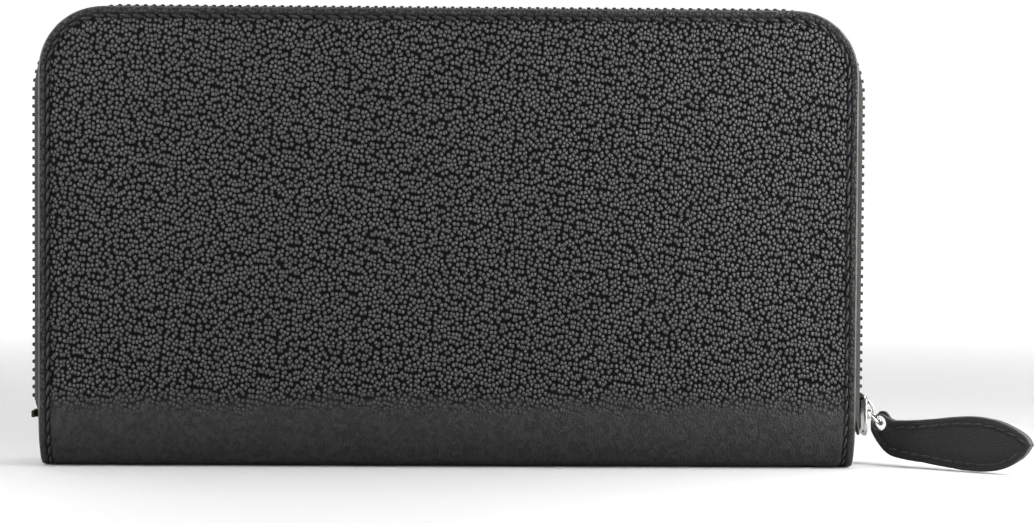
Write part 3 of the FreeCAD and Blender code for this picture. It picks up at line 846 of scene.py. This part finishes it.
# %% Outlines of the zip
def ring_point(share, half, top, radius, low_right, low_left):
    """Place on an upright outline with two round corners; share runs 0 to 5 from right to left."""
    spring = top - radius
    centre = half - radius
    part = share - math.floor(share)
    if share < 1:
        return half, low_right + (spring - low_right) * share, 0.0
    if share < 2:
        turn = part * math.pi / 2
        return centre + radius * math.cos(turn), spring + radius * math.sin(turn), turn
    if share < 3:
        return centre - 2 * centre * part, top, math.pi / 2
    if share < 4:
        turn = (1 + part) * math.pi / 2
        return -centre + radius * math.cos(turn), spring + radius * math.sin(turn), turn
    part = share - 4
    return -half, spring - (spring - low_left) * part, math.pi


TUCK = 2.4


def tuck(x, z):
    """At its fixed end the zip turns in behind the cover's edge."""
    if x > -ZIP_HALF + ZIP_CORNER / 2:
        return x
    return x + TUCK * (1 - smooth_step(8.5, 14.5, z))


TAPE_OUTLINES = [
    (88.2, 100.2, 8.5, 10.95),
    (91.5, 103.5, 12.0, 11.0),
    (94.2, 106.2, 14.6, 10.9),
    (94.75, 106.75, 15.0, 10.45),
    (95.5, 106.95, 16.3, 8.9),
    (96.25, 107.1, 18.2, 6.9),
    (96.85, 107.18, 19.6, 4.9),
    (97.05, 107.14, 20.0, 3.3),
    (97.0, 107.1, 20.0, 1.55),
]


def tape_stations():
    """Stations along the zip, closer together round the corners."""
    stations = [i / 22 for i in range(22)]
    stations += [1 + i / 10 for i in range(10)]
    stations += [2 + i / 32 for i in range(32)]
    stations += [3 + i / 10 for i in range(10)]
    stations += [4 + i / 22 for i in range(23)]
    return stations


def make_tape(name, side):
    stations = tape_stations()
    tape = new_piece(
        name,
        bpy.ops.mesh.primitive_grid_add,
        x_subdivisions=len(stations) - 1,
        y_subdivisions=len(TAPE_OUTLINES) - 1,
        size=2,
    )
    flat = []
    for vertex in tape.data.vertices:
        i = round((vertex.co.x + 1) / 2 * (len(stations) - 1))
        j = round((vertex.co.y + 1) / 2 * (len(TAPE_OUTLINES) - 1))
        half, top, radius, y = TAPE_OUTLINES[j]
        lift = max(y - 5.0, 0.0)
        low_right, low_left = 7.5 + lift * 1.05, 10.7 + lift * 0.5
        x, z, turn = ring_point(stations[i], half, top, radius, low_right, low_left)
        ripple = 0.12 * math.sin(stations[i] * 60 + j) * smooth_step(0, 3, j) * smooth_step(8, 6, j)
        x = tuck(x + ripple * math.cos(turn), z)
        flat.append((stations[i], j))
        vertex.co = Vector((x, side * y, z + ripple * math.sin(turn))) * MM
    side_run, corner_run, top_run = 0.08, 0.031, 0.154
    metres = [side_run, corner_run, top_run, corner_run, side_run]
    for loop in tape.data.loops:
        station, j = flat[loop.vertex_index]
        whole = min(int(station), 4)
        along = sum(metres[:whole]) + metres[whole] * (station - whole)
        tape.data.uv_layers.active.data[loop.index].uv = (along * 10, j * 0.012)
    face_outwards(tape)
    modify(tape, "SUBSURF", levels=1, render_levels=1)
    modify(tape, "SOLIDIFY", thickness=0.5 * MM, offset=0.0)
    dress(tape, tape_cloth, 60)
    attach(tape, "front_half" if side < 0 else "back_half")
    return tape


def face_outwards(sheet):
    """Makes an open sheet's faces point away from the wallet's middle."""
    highest = max(sheet.data.polygons, key=lambda face: face.center.z)
    if highest.normal.z < 0:
        flip_sheet(sheet)


front_tape = make_tape("front_tape_cloth", -1)
back_tape = make_tape("back_tape_cloth", 1)
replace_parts(front_tape, "front_zip_tape")
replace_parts(back_tape, "back_zip_tape")

# %% [markdown]
# Each tooth of a metal zip is a small clamp with a head. The two rows mesh: every tooth of one row
# sits between two of the other. One tooth starts as a cube; its head end is narrowed and its edges
# are bevelled once, which keeps it to a few dozen faces. It is copied two millimetres apart.

# %% Teeth of the zip
TOOTH_PITCH = 2.0
CHAIN_FOOT = 13.0


def chain_place(s):
    """The place and turn of a tooth this far along the chain from its right end."""
    spring = ZIP_TOP - ZIP_CORNER
    centre = ZIP_HALF - ZIP_CORNER
    spans = [spring - CHAIN_FOOT, ZIP_CORNER * math.pi / 2, 2 * centre, ZIP_CORNER * math.pi / 2]
    spans.append(spring - CHAIN_FOOT)
    share = 0
    while share < 4 and s > spans[share]:
        s -= spans[share]
        share += 1
    along = share + min(s / spans[share], 1.0)
    x, z, turn = ring_point(min(along, 4.99999), ZIP_HALF, ZIP_TOP, ZIP_CORNER, CHAIN_FOOT, CHAIN_FOOT)
    return Matrix.Translation(Vector((tuck(x, z), 0, z)) * MM) @ Matrix.Rotation(-turn, 4, "Y")


def make_tooth(width):
    """A tooth of the front row: outwards is X, its head is towards +Y, and Z runs along the chain."""
    tooth = new_piece(
        "tooth",
        bpy.ops.mesh.primitive_cube_add,
        size=1,
        location=(0, -1.18 * MM, 0),
        scale=(2.3 * MM, 3.3 * MM, width * MM),
    )
    edit_faces(tooth, lambda centre, normal: normal.y > 0.9)
    bpy.ops.transform.resize(value=(0.74, 1, 0.8))
    close_edit()
    edit_faces(tooth, lambda centre, normal: normal.y < -0.9)
    bpy.ops.transform.resize(value=(0.86, 1, 0.9))
    close_edit()
    modify(tooth, "BEVEL", width=0.17 * MM, segments=2, limit_method="NONE")
    return tooth


def make_teeth(name, side, first):
    tooth = make_tooth(0.95)
    if side > 0:
        tooth.data.transform(Matrix.Rotation(math.pi, 4, "X"))
    whole = 2 * (ZIP_TOP - ZIP_CORNER - CHAIN_FOOT) + math.pi * ZIP_CORNER + 2 * (ZIP_HALF - ZIP_CORNER)
    count = int((whole - first) / TOOTH_PITCH)
    places = [chain_place(first + i * TOOTH_PITCH) for i in range(count)]
    teeth = place_copies(tooth, name, places)
    remove(tooth)
    dress(teeth, black_metal, 35)
    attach(teeth, "front_half" if side < 0 else "back_half")
    print(name, count, "teeth")
    return teeth


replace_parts(make_teeth("front_teeth", -1, 0.0), "front_zip_teeth")
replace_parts(make_teeth("back_teeth", 1, 1.0), "back_zip_teeth")

# %% [markdown]
# Small metal parts are cast, so none of their edges is sharp. The frame already holds their working
# shapes. A copy of such a shape is merged, its flat faces are joined up, and a bevel rounds every
# edge, which keeps each fit and adds the highlights that a real casting has.

# %% Rounded metal parts
def rounded_copy(name, source, width, material, body, angle=30, turn=40):
    """A copy of a frame piece with rounded edges."""
    original = nodes[source]
    piece = original.copy()
    piece.data = original.data.copy()
    bpy.context.collection.objects.link(piece)
    piece.name = name
    piece.data.name = name
    edit_faces(piece, lambda centre, normal: True)
    bpy.ops.mesh.remove_doubles(threshold=0.000005)
    bpy.ops.mesh.dissolve_limited(angle_limit=math.radians(2))
    close_edit()
    modify(
        piece,
        "BEVEL",
        width=width * MM,
        segments=3,
        limit_method="ANGLE",
        angle_limit=math.radians(angle),
        use_clamp_overlap=True,
    )
    if not piece.data.uv_layers:
        piece.data.uv_layers.new()
    flat_map(piece)
    dress(piece, material, turn)
    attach(piece, body)
    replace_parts(piece, source)
    return piece


def flat_map(piece):
    """Stores each corner's upright place as its flat coordinates, one unit for 100 mm."""
    layer = piece.data.uv_layers.active or piece.data.uv_layers.new()
    for face in piece.data.polygons:
        for corner in face.loop_indices:
            place = piece.data.vertices[piece.data.loops[corner].vertex_index].co
            if abs(face.normal.z) > 0.7:
                layer.data[corner].uv = (place.x * 10, place.y * 10)
            elif abs(face.normal.x) > 0.7:
                layer.data[corner].uv = (place.y * 10, place.z * 10)
            else:
                layer.data[corner].uv = (place.x * 10, place.z * 10)


rounded_copy("zip_slider_casting", "slider_body", 0.2, nickel, "zip_slider")
rounded_copy("zip_slider_arch", "slider_bridge", 0.14, nickel, "zip_slider", 25)
rounded_copy("zip_joining_clamp", "zip_joining_stop", 0.18, black_metal, "back_half")
rounded_copy("coin_slider_casting", "coin_slider", 0.13, nickel, "coin_zip_slider")
rounded_copy("coin_slider_arch", "coin_slider_bridge", 0.1, nickel, "coin_zip_slider", 25)
rounded_copy("coin_tab", "coin_pull", 0.12, nickel, "coin_zip_pull")
rounded_copy("coin_stops", "coin_zip_stops", 0.12, tooth_metal, "spine")

# %% [markdown]
# The ring is bent from wire, and its two ends meet in a fine butt joint. A torus gives the wire; one
# narrow band of its faces is shrunk to make the joint. It hangs from the bridge, tilted down and
# turned a little to the front.

# %% The ring
ring_low, ring_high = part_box("pull_ring")
RING_DROP = math.radians(42)
RING_YAW = math.radians(18)
RING_RADIUS = 2.2
WIRE_RADIUS = 0.4
level = math.cos(RING_DROP)
ring_along = Vector((level * math.cos(RING_YAW), -level * math.sin(RING_YAW), -math.sin(RING_DROP)))
ring_across = Vector((math.sin(RING_YAW), math.cos(RING_YAW), 0))
ring_axis = ring_along.cross(ring_across)
ring_middle = (Vector(ring_low) + Vector(ring_high)) / 2
ring = new_piece(
    "ring_wire",
    bpy.ops.mesh.primitive_torus_add,
    major_radius=RING_RADIUS * MM,
    minor_radius=WIRE_RADIUS * MM,
    major_segments=72,
    minor_segments=18,
)
edit_faces(ring, lambda centre, normal: centre.x < 0 and 0 < centre.y < 0.21 * MM)
bpy.ops.mesh.inset(thickness=0.02 * MM)
bpy.ops.transform.shrink_fatten(value=-0.06 * MM)
close_edit()
ring.data.transform(Matrix((ring_across, ring_axis.cross(ring_across), ring_axis)).transposed().to_4x4())
ring.data.transform(Matrix.Translation(ring_middle))
dress(ring, nickel, 50)
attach(ring, "pull_ring")
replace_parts(ring, "pull_ring")

# %% [markdown]
# The pull is a leaf of two leathers, back to back, with its edge painted. Each outline is a handful
# of points with a smooth curve through them. A grid is laid between the lower and the upper curve,
# its lines close together near the edge, so that the face can rise from a rounded edge, dip in a
# sewn line and swell in the middle. It is extruded for its thickness, and the ring's hole is
# punched by a boolean.

# %% Outline of the leaf
def through(points, steps):
    """A smooth open curve through the points."""
    padded = [points[0]] + points + [points[-1]]
    curve = []
    for i in range(1, len(padded) - 2):
        p0, p1, p2, p3 = (Vector(p) for p in padded[i - 1 : i + 3])
        for step in range(steps):
            t = step / steps
            curve.append(
                0.5
                * (
                    2 * p1
                    + (p2 - p0) * t
                    + (2 * p0 - 5 * p1 + 4 * p2 - p3) * t**2
                    + (3 * p1 - p0 - 3 * p2 + p3) * t**3
                )
            )
    return curve


LEAF_LOWER = [(-2.4, -1.6), (-0.6, -4.4), (2.2, -7.0), (6.4, -8.0), (11.1, -8.4), (16.5, -9.0)]
LEAF_LOWER += [(21.8, -9.5), (26.3, -9.5), (30.6, -8.8), (33.9, -7.2), (36.5, -5.2), (38.2, -2.6)]
LEAF_UPPER = [(38.2, -2.6), (36.9, -0.7), (33.7, 1.1), (29.6, 2.5), (24.0, 3.1), (18.5, 2.7)]
LEAF_UPPER += [(13.0, 1.9), (8.0, 1.3), (3.4, 1.0)]
NECKS = {
    1: [(3.4, 1.0), (2.2, 1.5), (0.8, 2.2), (-1.0, 2.2), (-2.3, 0.9), (-2.4, -1.6)],
    -1: [(3.4, 1.0), (2.2, 1.5), (1.1, 2.8), (-0.2, 3.0), (-1.2, 2.1), (-2.1, 0.2), (-2.4, -1.6)],
}
PULL_YAW = math.radians(35)
hole_centre = ring_middle + ring_along * RING_RADIUS * MM
leaf_along = Vector((math.cos(PULL_YAW), -math.sin(PULL_YAW), 0))
leaf_out = Vector((-math.sin(PULL_YAW), -math.cos(PULL_YAW), 0))
leaf_turn = Matrix((leaf_along, Vector((0, 0, 1)), leaf_out)).transposed().to_4x4()
leaf_place = Matrix.Translation(hole_centre) @ leaf_turn


# %% The two leathers of the leaf
def evenly(curve, count):
    """Places at equal steps along a curve."""
    lengths = [0.0]
    for a, b in zip(curve, curve[1:]):
        lengths.append(lengths[-1] + (b - a).length)
    places, j = [], 0
    for i in range(count + 1):
        target = lengths[-1] * i / count
        while j < len(curve) - 2 and lengths[j + 1] < target:
            j += 1
        part = (target - lengths[j]) / max(lengths[j + 1] - lengths[j], 0.000001)
        places.append(curve[j].lerp(curve[j + 1], min(part, 1.0)))
    return places


def nearest(place, curve):
    return min((place - point).length for point in curve)


LEAF_LINES = [0.0, 0.012, 0.035, 0.07, 0.11, 0.15, 0.19, 0.23, 0.28, 0.35, 0.43]
LEAF_LINES += [0.5] + [1 - share for share in LEAF_LINES[::-1]]


LEAF_STITCH_INSET = 1.62


def leaf_height(distance):
    """Height of the leather's face at this distance from its edge."""
    rounded = 0.72 + 0.4 * (1 - math.exp(-distance / 0.22))
    swell = 0.2 * smooth_step(1.6, 4.2, distance)
    groove = 0.13 * math.exp(-(((distance - LEAF_STITCH_INSET) / 0.3) ** 2))
    return rounded + swell - groove


def leaf_layer(name, face):
    """One leather of the leaf; face is 1 for the front one and -1 for the back one."""
    tip = [Vector(LEAF_LOWER[-1])]
    lower = through(LEAF_LOWER, 12) + tip
    upper = (through(LEAF_UPPER, 12) + through(NECKS[face], 12) + [Vector(LEAF_LOWER[0])])[::-1]
    steps = 96
    low, high = evenly(lower, steps), evenly(upper, steps)
    outline = lower + upper
    leaf = new_piece(
        name,
        bpy.ops.mesh.primitive_grid_add,
        x_subdivisions=steps,
        y_subdivisions=len(LEAF_LINES) - 1,
        size=2,
    )
    for vertex in leaf.data.vertices:
        i = round((vertex.co.x + 1) / 2 * steps)
        j = round((vertex.co.y + 1) / 2 * (len(LEAF_LINES) - 1))
        place = low[i].lerp(high[i], LEAF_LINES[j])
        vertex.co = Vector((place.x, place.y, leaf_height(nearest(place, outline)))) * MM
    activate(leaf)
    bpy.ops.object.mode_set(mode="EDIT")
    bpy.ops.mesh.select_all(action="SELECT")
    bpy.ops.mesh.remove_doubles(threshold=0.000004)
    bpy.ops.mesh.extrude_region_move(TRANSFORM_OT_translate={"value": (0, 0, -0.0001)})
    bpy.ops.transform.resize(value=(1, 1, 0), center_override=(0, 0, 0), orient_type="GLOBAL")
    bpy.ops.mesh.select_all(action="SELECT")
    bpy.ops.mesh.normals_make_consistent(inside=False)
    close_edit()
    punch = new_piece(
        "punch",
        bpy.ops.mesh.primitive_cylinder_add,
        vertices=36,
        radius=1.85 * MM,
        depth=6 * MM,
        location=(-0.15 * MM, 0.2 * MM, 0),
    )
    modify(leaf, "BOOLEAN", operation="DIFFERENCE", object=punch, solver="EXACT")
    remove(punch)
    layer = leaf.data.uv_layers.active or leaf.data.uv_layers.new()
    for loop in leaf.data.loops:
        place = leaf.data.vertices[loop.vertex_index].co
        layer.data[loop.index].uv = (place.x * 10, place.y * 10)
    painted = [0.0001 * MM < part.center.z < 0.93 * MM for part in leaf.data.polygons]
    if face < 0:
        leaf.data.transform(Matrix.Scale(-1, 4, (0, 0, 1)))
        edit_faces(leaf, lambda centre, normal: True)
        bpy.ops.mesh.flip_normals()
        close_edit()
    leaf.data.transform(Matrix.Translation((0, 0, face * 0.02 * MM)))
    leaf.data.transform(leaf_place)
    dress(leaf, pull_leather, 42, edge_paint)
    for part, on_edge in zip(leaf.data.polygons, painted):
        part.material_index = int(on_edge)
    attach(leaf, "leather_pull")
    return leaf


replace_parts(leaf_layer("leaf_front", 1), "pull_front_leather")
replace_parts(leaf_layer("leaf_back", -1), "pull_back_leather")


# %% Stitching of the leaf
def leaf_stitching(name):
    pattern = make_stitch(2.2, 0.62)
    places = []
    for face in (1, -1):
        runs = ((LEAF_LOWER[2:11], LEAF_STITCH_INSET), (LEAF_UPPER[1:], -LEAF_STITCH_INSET))
        for points, inset in runs:
            line = through([(u, v + inset) for u, v in points], 40)
            travelled, holes, before = 0.0, [line[0]], line[0]
            for point in line:
                travelled += (point - before).length
                before = point
                if travelled >= 2.75:
                    holes.append(point)
                    travelled = 0.0
            for start, end in zip(holes, holes[1:]):
                lift = 0.02 + leaf_height(LEAF_STITCH_INSET) + 0.05
                first = Vector((*start.lerp(end, 0.08), face * lift)) * MM
                last = Vector((*start.lerp(end, 0.92), face * lift)) * MM
                places.append(leaf_place @ stitch_place(first, last, Vector((0, 0, face)), 0.12))
    stitching = place_copies(pattern, name, places)
    remove(pattern)
    dress(stitching, thread, 60)
    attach(stitching, "leather_pull")
    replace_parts(stitching, "pull_stitching")
    print(name, len(places), "stitches")


leaf_stitching("leaf_stitches")

# %% [markdown]
# Inside, each cover carries four leaves of thin leather that hold cards, one in front of another and
# each lower than the last, on a backing. A leaf starts as a box of its real size. It is cut across
# below its top, the part under the cut is set back a little, and what is left proud is the turned
# hem. All its edges are then rounded.

# %% Card leaves
def card_leaf(name, source, side):
    low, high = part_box(source)
    size = [b - a for a, b in zip(low, high)]
    middle = [(a + b) / 2 for a, b in zip(low, high)]
    leaf = new_piece(name, bpy.ops.mesh.primitive_cube_add, size=1, location=middle, scale=size)
    for height in (high[2] - 3.2 * MM, high[2] - 3.6 * MM):
        edit_faces(leaf, lambda centre, normal: True)
        bpy.ops.mesh.bisect(plane_co=(0, 0, height), plane_no=(0, 0, 1))
        close_edit()
    inward = -side
    edit_faces(leaf, lambda centre, normal: normal.y * inward > 0.9 and centre.z < high[2] - 3.61 * MM)
    bpy.ops.transform.translate(value=(0, -inward * 0.12 * MM, 0))
    close_edit()
    modify(leaf, "BEVEL", width=0.1 * MM, segments=2, limit_method="ANGLE", angle_limit=math.radians(40))
    flat_map(leaf)
    dress(leaf, inner_leather, 35)
    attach(leaf, "front_half" if side < 0 else "back_half")
    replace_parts(leaf, source)
    return leaf


for word, side in (("front", -1), ("back", 1)):
    card_leaf(word + "_leaf_backing", word + "_card_backing", side)
    for number in range(1, 5):
        card_leaf(f"{word}_leaf_{number}", f"{word}_card_slot_{number}", side)

# %% [markdown]
# The leaves are sewn down at both ends and along the middle, which makes two columns of card slots.
# Each line of stitches steps forward where a leaf lies in front of the one behind it.

# %% Stitching of the leaves
def leaf_face(z, word):
    """Inner face of the foremost leaf at this height, as a distance from the middle."""
    for number in (4, 3, 2, 1):
        low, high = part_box(f"{word}_card_slot_{number}")
        if z < high[2] / MM - 1.4:
            return min(abs(low[1]), abs(high[1])) / MM
    low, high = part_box(f"{word}_card_backing")
    return min(abs(low[1]), abs(high[1])) / MM


def leaf_rows(name, word, side):
    pattern = make_stitch(1.9, 0.3)
    places = []
    for x in (-85.2, -0.9, 0.9, 85.2):
        for i in range(26):
            z = 17 + i * 2.5
            y = leaf_face(z + 1.2, word) + 0.02
            start, end = Vector((x, side * y, z)) * MM, Vector((x, side * y, z + 2.1)) * MM
            places.append(stitch_place(start, end, Vector((0, -side, 0)), 0.1))
    stitching = place_copies(pattern, name, places)
    remove(pattern)
    dress(stitching, thread, 60)
    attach(stitching, "front_half" if side < 0 else "back_half")


leaf_rows("front_leaf_rows", "front", -1)
leaf_rows("back_leaf_rows", "back", 1)

# %% [markdown]
# The coin pocket stands on the spine between the two covers. Its walls are stiffened leather with
# turned edges, and a small metal zip closes its mouth. The walls, base and folded ends take rounded
# edges and a row of stitches under the zip.

# %% The coin pocket
for part in ("coin_front_wall", "coin_back_wall"):
    rounded_copy(part + "_leather", part, 0.22, inner_leather, "spine")
rounded_copy("coin_base_leather", "coin_base", 0.15, inner_leather, "spine")
for part in ("coin_front_tape", "coin_back_tape"):
    rounded_copy(part + "_cloth", part, 0.12, tape_cloth, "spine")
for part in ("coin_right_gusset", "coin_left_gusset"):
    rounded_copy(part + "_cloth", part, 0.2, gusset_cloth, "spine", 20, 60)
for part in ("coin_front_teeth", "coin_back_teeth"):
    nodes[part].data.materials.clear()
    nodes[part].data.materials.append(tooth_metal)


POCKET_FACE = 3.42
POCKET_ROW = 79.6


def pocket_rows(name):
    pattern = make_stitch(2.0, 0.34)
    places = []
    for side in (-1, 1):
        for i in range(68):
            x = -87.5 + i * 2.6
            start = Vector((x, side * POCKET_FACE, POCKET_ROW)) * MM
            end = Vector((x + 2.1, side * POCKET_FACE, POCKET_ROW)) * MM
            places.append(stitch_place(start, end, Vector((0, side, 0)), 0.1))
    stitching = place_copies(pattern, name, places)
    remove(pattern)
    dress(stitching, thread, 60)
    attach(stitching, "spine")


pocket_rows("coin_pocket_rows")

# %% [markdown]
# A pleated gusset of cloth joins each end of a cover's lining to the coin pocket, so that nothing
# falls out when the wallet is opened. Its pleats are deeper at the top, where the cover moves
# furthest. It starts as a grid whose lines follow the folds, with the folds rounded.

# %% Gussets
GUSSET_FOOT = 12.2
GUSSET_HEIGHT = 65.6


def pleat_line(inner, outer, start):
    """The folds seen from above, as (x, distance from the middle) points."""
    lining_side, coin_side, first = 9.75, 3.72, 7.25
    step = (coin_side - first) / 4
    folds = [first + i * step for i in range(4)]
    line = [(88.4, lining_side), (92.5, lining_side), (start, first), (inner, first), (inner, folds[1])]
    line += [(outer, folds[1]), (outer, folds[2]), (inner, folds[2]), (inner, folds[3])]
    line += [(outer, folds[3]), (outer, coin_side), (inner + 1.5, coin_side)]
    return line


def soften(line):
    """Cuts each corner of a line twice."""
    for _ in range(2):
        cut = [line[0]]
        for (x0, y0), (x1, y1) in zip(line, line[1:]):
            cut.append((x0 * 0.8 + x1 * 0.2, y0 * 0.8 + y1 * 0.2))
            cut.append((x0 * 0.2 + x1 * 0.8, y0 * 0.2 + y1 * 0.8))
        cut.append(line[-1])
        line = cut
    return line


def make_gusset(name, side, end):
    narrow = soften(pleat_line(87.4, 91.4, 89.4))
    wide = soften(pleat_line(81.5, 92.3, 88.6))
    rows = 24
    cloth = new_piece(
        name, bpy.ops.mesh.primitive_grid_add, x_subdivisions=len(wide) - 1, y_subdivisions=rows, size=2
    )
    layer = cloth.data.uv_layers.active
    flat = []
    for vertex in cloth.data.vertices:
        i = round((vertex.co.x + 1) / 2 * (len(wide) - 1))
        share = (vertex.co.y + 1) / 2
        x = narrow[i][0] * (1 - share) + wide[i][0] * share
        y = narrow[i][1] * (1 - share) + wide[i][1] * share
        z = GUSSET_FOOT + GUSSET_HEIGHT * share
        flat.append((i * 0.008, z / 100))
        vertex.co = Vector((end * x, side * y, z)) * MM
    for loop in cloth.data.loops:
        layer.data[loop.index].uv = flat[loop.vertex_index]
    if side * end < 0:
        flip_sheet(cloth)
    modify(cloth, "SOLIDIFY", thickness=0.3 * MM, offset=0.0)
    dress(cloth, gusset_cloth, 70)
    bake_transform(cloth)
    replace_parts(cloth, name.replace("_cloth", ""))


for word, side in (("front", -1), ("back", 1)):
    make_gusset(word + "_right_gusset_cloth", side, 1)
    make_gusset(word + "_left_gusset_cloth", side, -1)

# %% [markdown]
# A plain pale floor runs back and curves up into a wall, so that no line shows behind the wallet.
# It starts as one plane; its back edge is extruded upwards and the fold is bevelled round. The wall
# looks white by itself, through a little light of its own that only the camera sees, because black
# leather next to a bright white wall would otherwise be lit too strongly. That light fades in with
# the distance from the wallet, so that the floor beside it still shows a soft shadow.

# %% Floor and backdrop
floor = new_piece("floor", bpy.ops.mesh.primitive_plane_add, size=6, location=(0, 1.5, 0))
activate(floor)
bpy.ops.object.mode_set(mode="EDIT")
bpy.ops.mesh.select_mode(type="EDGE")
bpy.ops.mesh.select_all(action="DESELECT")
bpy.ops.object.mode_set(mode="OBJECT")
for edge in floor.data.edges:
    ends = [floor.data.vertices[corner].co.y for corner in edge.vertices]
    edge.select = min(ends) > 4.0
bpy.ops.object.mode_set(mode="EDIT")
bpy.ops.mesh.extrude_region_move(TRANSFORM_OT_translate={"value": (0, 0, 3.0)})
close_edit()
modify(floor, "BEVEL", width=1.1, segments=12, limit_method="ANGLE")
floor_paint, tree, shader = new_material("pale floor", (0.86, 0.86, 0.86), 0.6)
sees = add_node(tree, "LightPath").outputs["Is Camera Ray"]
speckle = add_node(tree, "TexNoise", [("Vector", coordinates(tree)), ("Scale", 3.0)]).outputs[0]
tree.links.new(calc(tree, "MULTIPLY_ADD", speckle, 0.06, 0.57), shader.inputs["Roughness"])
paint = blend_colour(tree, sees, (0.42, 0.42, 0.42, 1), (0.8, 0.8, 0.8, 1))
tree.links.new(paint, shader.inputs["Base Color"])
shader.inputs["Specular IOR Level"].default_value = 0.15
shader.inputs["Emission Color"].default_value = (1, 1, 1, 1)
away = add_node(tree, "VectorMath", [("Vector", coordinates(tree))], operation="LENGTH").outputs["Value"]
far = spread(tree, away, 0.08, 0.9, 0.0, 1.0)
tree.links.new(calc(tree, "MULTIPLY", sees, far), shader.inputs["Emission Strength"])
dress(floor, floor_paint, 60)

# %% [markdown]
# The light is soft. A large panel above and behind gives most of it, a smaller one at each side
# grazes the cover and brings its grain out, and a weak one shines from above the front. The world
# is dark grey for light and reflections, and white for the camera.

# %% Light
def softbox(name, place, target, size, power):
    light = bpy.data.lights.new(name, "AREA")
    light.shape = "RECTANGLE"
    light.size, light.size_y = size
    light.energy = power
    panel = bpy.data.objects.new(name, light)
    bpy.context.collection.objects.link(panel)
    panel.location = place
    panel.rotation_euler = (Vector(target) - Vector(place)).to_track_quat("-Z", "Y").to_euler()
    panel.visible_camera = False
    return panel


softbox("back panel", (0.0, 0.3, 0.85), (0, 0, 0.03), (1.2, 0.8), 6.4)
softbox("left panel", (-0.23, -0.11, 0.13), (-0.08, 0, 0.07), (0.1, 0.3), 0.58)
softbox("right panel", (0.23, -0.11, 0.14), (0.08, 0, 0.08), (0.1, 0.3), 1.15)
softbox("front panel", (0.0, -0.4, 0.95), (0, 0, 0.05), (1.0, 0.3), 0.4)
world = bpy.data.worlds.new("studio")
bpy.context.scene.world = world
world.use_nodes = True
sky = world.node_tree.nodes["Background"]
sky.inputs["Color"].default_value = (1, 1, 1, 1)
seen = add_node(world.node_tree, "LightPath").outputs["Is Camera Ray"]
world.node_tree.links.new(
    calc(world.node_tree, "MULTIPLY_ADD", seen, 0.93, 0.07), sky.inputs["Strength"]
)
bpy.context.scene.view_settings.view_transform = "Standard"

# %% [markdown]
# The camera looks at the front cover from a little above the wallet's middle, with a long lens, so
# that upright edges stay nearly upright. It is turned, tilted and rolled by small amounts. The three
# turns are multiplied in that order and only then written as the camera's rotation.

# %% Camera
camera_data = bpy.data.cameras.new("camera")
camera = bpy.data.objects.new("camera", camera_data)
bpy.context.collection.objects.link(camera)
camera.location = (0.0041, -0.600, 0.0691)
yaw, pitch, roll = (math.radians(angle) for angle in (-1.14, 87.99, 0.34))
turned = Matrix.Rotation(yaw, 3, "Z") @ Matrix.Rotation(pitch, 3, "X") @ Matrix.Rotation(roll, 3, "Z")
camera.rotation_euler = turned.to_euler()
camera_data.lens = 88.2
camera_data.sensor_width = 36.0
camera_data.clip_start = 0.01
bpy.context.scene.camera = camera
